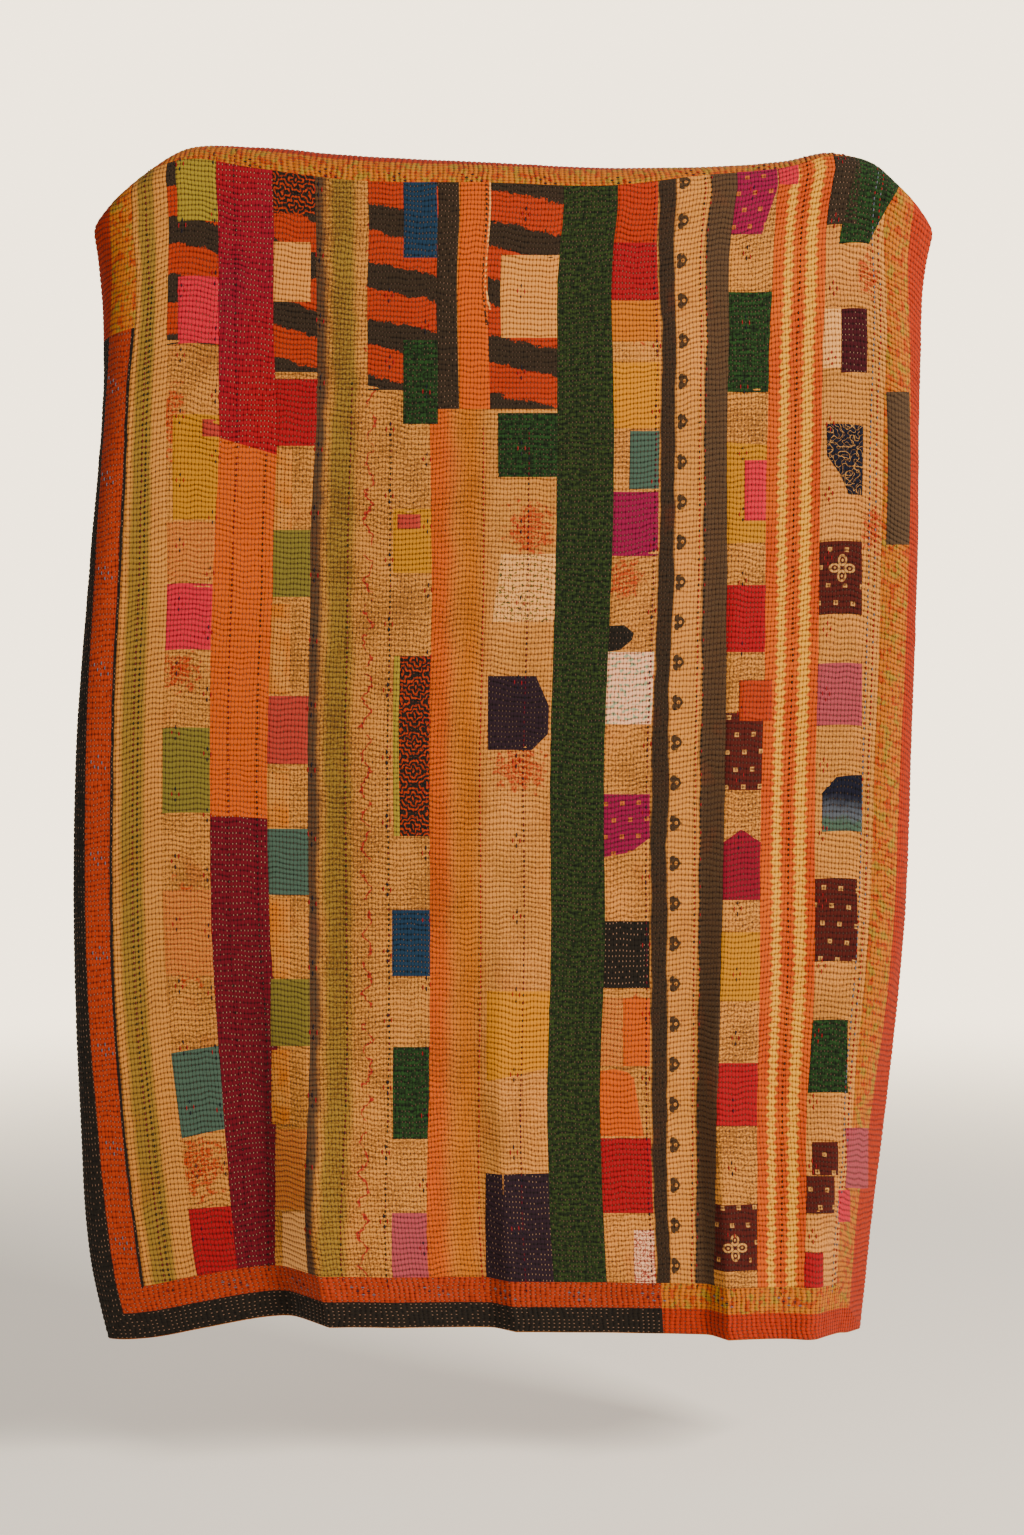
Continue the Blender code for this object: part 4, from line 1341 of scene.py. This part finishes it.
def stitch_places():
    """Flat places, thread names and relative lengths of the coloured stitches, and whether each crosses a
    level groove or an upright one."""
    places, names, lengths, levels = [], [], [], []
    seams = {name: (left, right) for name, left, right in STRIPS}
    _, downs = flat_at(np.full_like(STITCH_ROWS, STITCH_COLUMN), STITCH_ROWS)

    def lay(strip, share, y, threads, columns=0, ridges=0):
        down = np.interp(y, STITCH_ROWS, downs)
        left, right = (seam(name, down) for name in seams[strip])
        across = left + share * (right - left) + columns * ROW_GAP
        stray = wander(across, down)
        count = np.round(down / PITCH - stray) + ridges
        places.append(np.column_stack([across, (count + stray) * PITCH]))
        names.extend(threads)
        lengths.extend([1.0 if ridges or columns else DOTTED_SIZE] * len(threads))
        levels.extend([True] * len(threads))

    def cluster(across, down, threads, level=True):
        """A small diamond of stitches on a border."""
        for columns, ridges in DIAMOND:
            gaps = (ROW_GAP, PITCH) if level else (PITCH, ROW_GAP)
            place = across + columns * gaps[0], down + ridges * gaps[1]
            along, order = (np.array([v]) for v in (place if level else place[::-1]))
            stray = wander(along, order)
            order = (np.round(order / PITCH - stray) + stray) * PITCH
            places.append(np.column_stack([along, order] if level else [order, along]))
            names.append(threads[columns % len(threads)])
            lengths.append(DIAMOND_SIZE)
            levels.append(level)

    for down in LEFT_MOTIFS:
        cluster(LEFT_MOTIFS_ACROSS, down, ("blue_grey",))
    for across in LEVEL_MOTIFS:
        cluster(across, TOP_MOTIFS_DOWN, ("navy", "red", "navy"), level=False)
        cluster(across - HEM_MOTIFS_SHIFT, HEM_MOTIFS_DOWN, ("blue_grey", "navy"), level=False)
    for strip, share, thread, other, low, high in DOTTED_LINES:
        y = np.arange(low, high, PITCH / PHOTO_SCALE)
        lay(strip, share, y, [thread if n % OTHER_THREAD else other for n in range(len(y))])
    for strip, share, first, step, upright, sideways in MOTIF_COLUMNS:
        y = np.arange(first, MOTIFS_END, step)
        for n in (-1, 1):
            lay(strip, share, y, [upright] * len(y), ridges=n)
        for n in (-1, 1):
            lay(strip, share, y, [sideways] * len(y), columns=n)
    return np.concatenate(places), names, lengths, levels


def stitch_tree():
    """Sets one arched stitch on every point, turned to the cloth by the attribute "turn"."""
    tree = bpy.data.node_groups.new("running_stitches", "GeometryNodeTree")
    face = tree.interface
    face.new_socket("Geometry", in_out="INPUT", socket_type="NodeSocketGeometry")
    face.new_socket("Geometry", in_out="OUTPUT", socket_type="NodeSocketGeometry")
    for name in ("Length", "Width", "Arch"):
        face.new_socket(name, in_out="INPUT", socket_type="NodeSocketFloat")
    face.new_socket("Material", in_out="INPUT", socket_type="NodeSocketMaterial")

    nodes = Nodes(tree)
    given = nodes.node("NodeGroupInput").outputs
    length, width, arch = (Number(nodes, given[name]) for name in ("Length", "Width", "Arch"))
    line = nodes.node("GeometryNodeCurveQuadraticBezier", {}, {
        "Resolution": 2, "Start": nodes.vector(0.0, STITCH_ENDS, length * -0.5),
        "Middle": nodes.vector(0.0, arch * -2.0), "End": nodes.vector(0.0, STITCH_ENDS, length * 0.5)})
    ring = nodes.node("GeometryNodeCurvePrimitiveCircle", {}, {"Resolution": 4, "Radius": width * 0.5})
    bar = nodes.node("GeometryNodeCurveToMesh", {}, {
        "Curve": line.outputs[0], "Profile Curve": ring.outputs[0], "Fill Caps": True})
    turn, size = (nodes.node("GeometryNodeInputNamedAttribute", {"data_type": "FLOAT_VECTOR"}, {"Name": name})
                  for name in ("turn", "size"))
    placed = nodes.node("GeometryNodeInstanceOnPoints", {}, {
        "Points": given["Geometry"], "Instance": bar.outputs[0], "Rotation": turn.outputs[0],
        "Scale": size.outputs[0]})
    real = nodes.node("GeometryNodeRealizeInstances", {}, {"Geometry": placed.outputs[0]})
    painted = nodes.node("GeometryNodeSetMaterial", {}, {
        "Geometry": real.outputs[0], "Material": given["Material"]})
    nodes.node("NodeGroupOutput", {}, {"Geometry": painted.outputs[0]})
    return tree


class QUILT_OT_stitches(bpy.types.Operator):
    """Make the coloured running stitches and small motifs"""
    bl_idname = "quilt.stitches"
    bl_label = "Coloured stitches"

    def execute(self, context):
        sizes = context.scene.quilt_sizes
        found, names, lengths, levels = stitch_places()
        across, down = found.T
        rise = sizes.ridge * STITCH_RISE[0] + sizes.patch_lift * STITCH_RISE[1]
        depth = np.full_like(across, GROOVE - rise)
        places = hang(across, down, depth)
        below = hang(across, down + NUDGE, depth) - places
        beside = hang(across + NUDGE, down, depth) - places
        turns = []
        for low, wide, level in zip(below, beside, levels):
            turns.append(turned(wide, -low) if level else turned(low, wide))
        mesh = bpy.data.meshes.new("coloured_stitches")
        mesh.from_pydata(places.tolist(), [], [])
        scales = np.column_stack([np.ones(len(found)), np.ones(len(found)), lengths])
        for name, values in (("turn", np.array(turns)), ("size", scales)):
            mesh.attributes.new(name, "FLOAT_VECTOR", "POINT").data.foreach_set("vector", values.ravel())
        tint = np.array([(*dye(name), 1.0) for name in names], np.float32)
        mesh.attributes.new("dye", "FLOAT_COLOR", "POINT").data.foreach_set("color", tint.ravel())
        points = in_scene("stitch_points", mesh)
        modifier = points.modifiers.new("stitches", "NODES")
        tree = stitch_tree()
        modifier.node_group = tree
        given = {"Length": sizes.stitch_length, "Width": sizes.thread_width, "Arch": STITCH_ARCH,
                 "Material": thread_material()}
        for item in tree.interface.items_tree:
            if item.name in given and item.in_out == "INPUT":
                modifier[item.identifier] = given[item.name]
        points.data.update()
        context.view_layer.update()
        solid = bpy.data.meshes.new_from_object(points.evaluated_get(context.evaluated_depsgraph_get()))
        if not solid.polygons:
            raise RuntimeError("the coloured stitches came out empty")
        bpy.data.objects.remove(points, do_unlink=True)
        solid.name = "coloured_stitches"
        solid.shade_smooth()
        settle(in_scene("coloured_stitches", solid), ("field",))
        return {"FINISHED"}


SKY = (0.95, 0.88, 0.78)
SKY_STRENGTH = 0.42
BACKDROP = (1.0, 0.84, 0.62)
BACKDROP_STRENGTH = 4.0
FLOOR_HALF = 8.0
FLOOR_CLEAR = 3.0       # the floor begins to fade this far from its middle
FLOOR_LOOK = {"Base Color": (0.88, 0.82, 0.73), "Emission Color": (1.0, 0.93, 0.83),
              "Emission Strength": 0.25, "Roughness": 0.8}
LAMPS = (
    # name, place, aim, size, power, colour
    ("key", (4.6, -4.2, 1.9), (0.0, 0.0, -1.0), 1.8, 840.0, (1.0, 0.92, 0.80)),
    ("fill", (-2.6, -3.2, -0.4), (0.0, 0.0, -1.1), 2.4, 30.0, (1.0, 0.95, 0.90)),
    ("rim", (0.5, 3.0, 1.2), (0.0, 0.0, -1.0), 2.0, 45.0, (1.0, 0.97, 0.93)),
)
SKYWARD = (0.0, 0.0, 1.0)


class QUILT_OT_stage(bpy.types.Operator):
    """Make the floor, the lights and the camera"""
    bl_idname = "quilt.stage"
    bl_label = "Stage"

    def execute(self, context):
        self.add_camera(context.scene)
        self.add_backdrop(context.scene)
        self.add_floor(-context.scene.quilt_sizes.floor_drop)
        for lamp in LAMPS:
            self.add_lamp(*lamp)
        return {"FINISHED"}

    def add_camera(self, scene):
        camera = in_scene("camera", bpy.data.cameras.new("camera"))
        camera.location = CAMERA
        camera.rotation_euler = (radians(90), 0.0, 0.0)
        camera.data.sensor_width = SENSOR
        camera.data.lens = SENSOR * CAMERA_DISTANCE / PHOTO_SCALE / PHOTO_HEIGHT
        scene.camera = camera

    def add_backdrop(self, scene):
        """The camera sees a brighter, warmer backdrop than the sky that lights the cloth."""
        world = bpy.data.worlds.new("studio")
        world.use_nodes = True
        air = Nodes(world.node_tree)
        sky = air.tree.nodes["Background"]
        air.fill(sky, {"Color": SKY, "Strength": SKY_STRENGTH})
        seen = air.node("ShaderNodeBackground", {}, {"Color": BACKDROP, "Strength": BACKDROP_STRENGTH})
        rays = air.node("ShaderNodeLightPath")
        chosen = air.node("ShaderNodeMixShader", {}, {
            0: rays.outputs["Is Camera Ray"], 1: sky.outputs[0], 2: seen.outputs[0]})
        air.fill(air.tree.nodes["World Output"], {0: chosen.outputs[0]})
        scene.world = world

    def add_floor(self, height):
        """A square floor that fades out towards its edges."""
        mesh = bpy.data.meshes.new("floor")
        corners = ((-1, -1), (1, -1), (1, 1), (-1, 1))
        mesh.from_pydata([(x * FLOOR_HALF, y * FLOOR_HALF, height) for x, y in corners], [], [(0, 1, 2, 3)])
        paint = Paint("floor")
        place = paint.node("ShaderNodeTexCoord")
        reach = paint.node("ShaderNodeVectorMath", {"operation": "LENGTH"}, {0: place.outputs["Object"]})
        shown = paint.ramp(reach.outputs["Value"], FLOOR_HALF, FLOOR_CLEAR)
        paint.fill(paint.shader, {**FLOOR_LOOK, "Alpha": shown})
        mesh.materials.append(paint.material)
        in_scene("floor", mesh)

    def add_lamp(self, name, place, aim, size, power, colour):
        lamp = bpy.data.lights.new(name, "AREA")
        lamp.size, lamp.energy, lamp.color = size, power, colour
        light = in_scene(name, lamp)
        light.location = place
        back = np.array(place) - np.array(aim)
        light.rotation_euler = turned(np.cross(SKYWARD, back), back)


class QUILT_PT_panel(bpy.types.Panel):
    bl_idname = "QUILT_PT_panel"
    bl_label = "Patchwork quilt"
    bl_space_type = "VIEW_3D"
    bl_region_type = "UI"
    bl_category = "Quilt"

    def draw(self, context):
        for operator in OPERATORS:
            self.layout.operator(operator.bl_idname)
        for group in (context.scene.quilt_sizes, context.scene.quilt_dyes):
            for name in group.__annotations__:
                self.layout.prop(group, name)


OPERATORS = (QUILT_OT_stage, QUILT_OT_backing, QUILT_OT_strips, QUILT_OT_borders, QUILT_OT_patches,
             QUILT_OT_stitches)
CLASSES = (QuiltDyes, QuiltSizes, *OPERATORS, QUILT_PT_panel)


def register():
    for made in CLASSES:
        bpy.utils.register_class(made)
    bpy.types.Scene.quilt_dyes = bpy.props.PointerProperty(type=QuiltDyes)
    bpy.types.Scene.quilt_sizes = bpy.props.PointerProperty(type=QuiltSizes)


def unregister():
    del bpy.types.Scene.quilt_sizes
    del bpy.types.Scene.quilt_dyes
    for made in reversed(CLASSES):
        bpy.utils.unregister_class(made)


def main():
    register()
    bpy.ops.quilt.stage()
    bpy.ops.quilt.backing()
    bpy.ops.quilt.strips()
    bpy.ops.quilt.borders()
    bpy.ops.quilt.patches()
    bpy.ops.quilt.stitches()


if __name__ == "__main__":
    main()
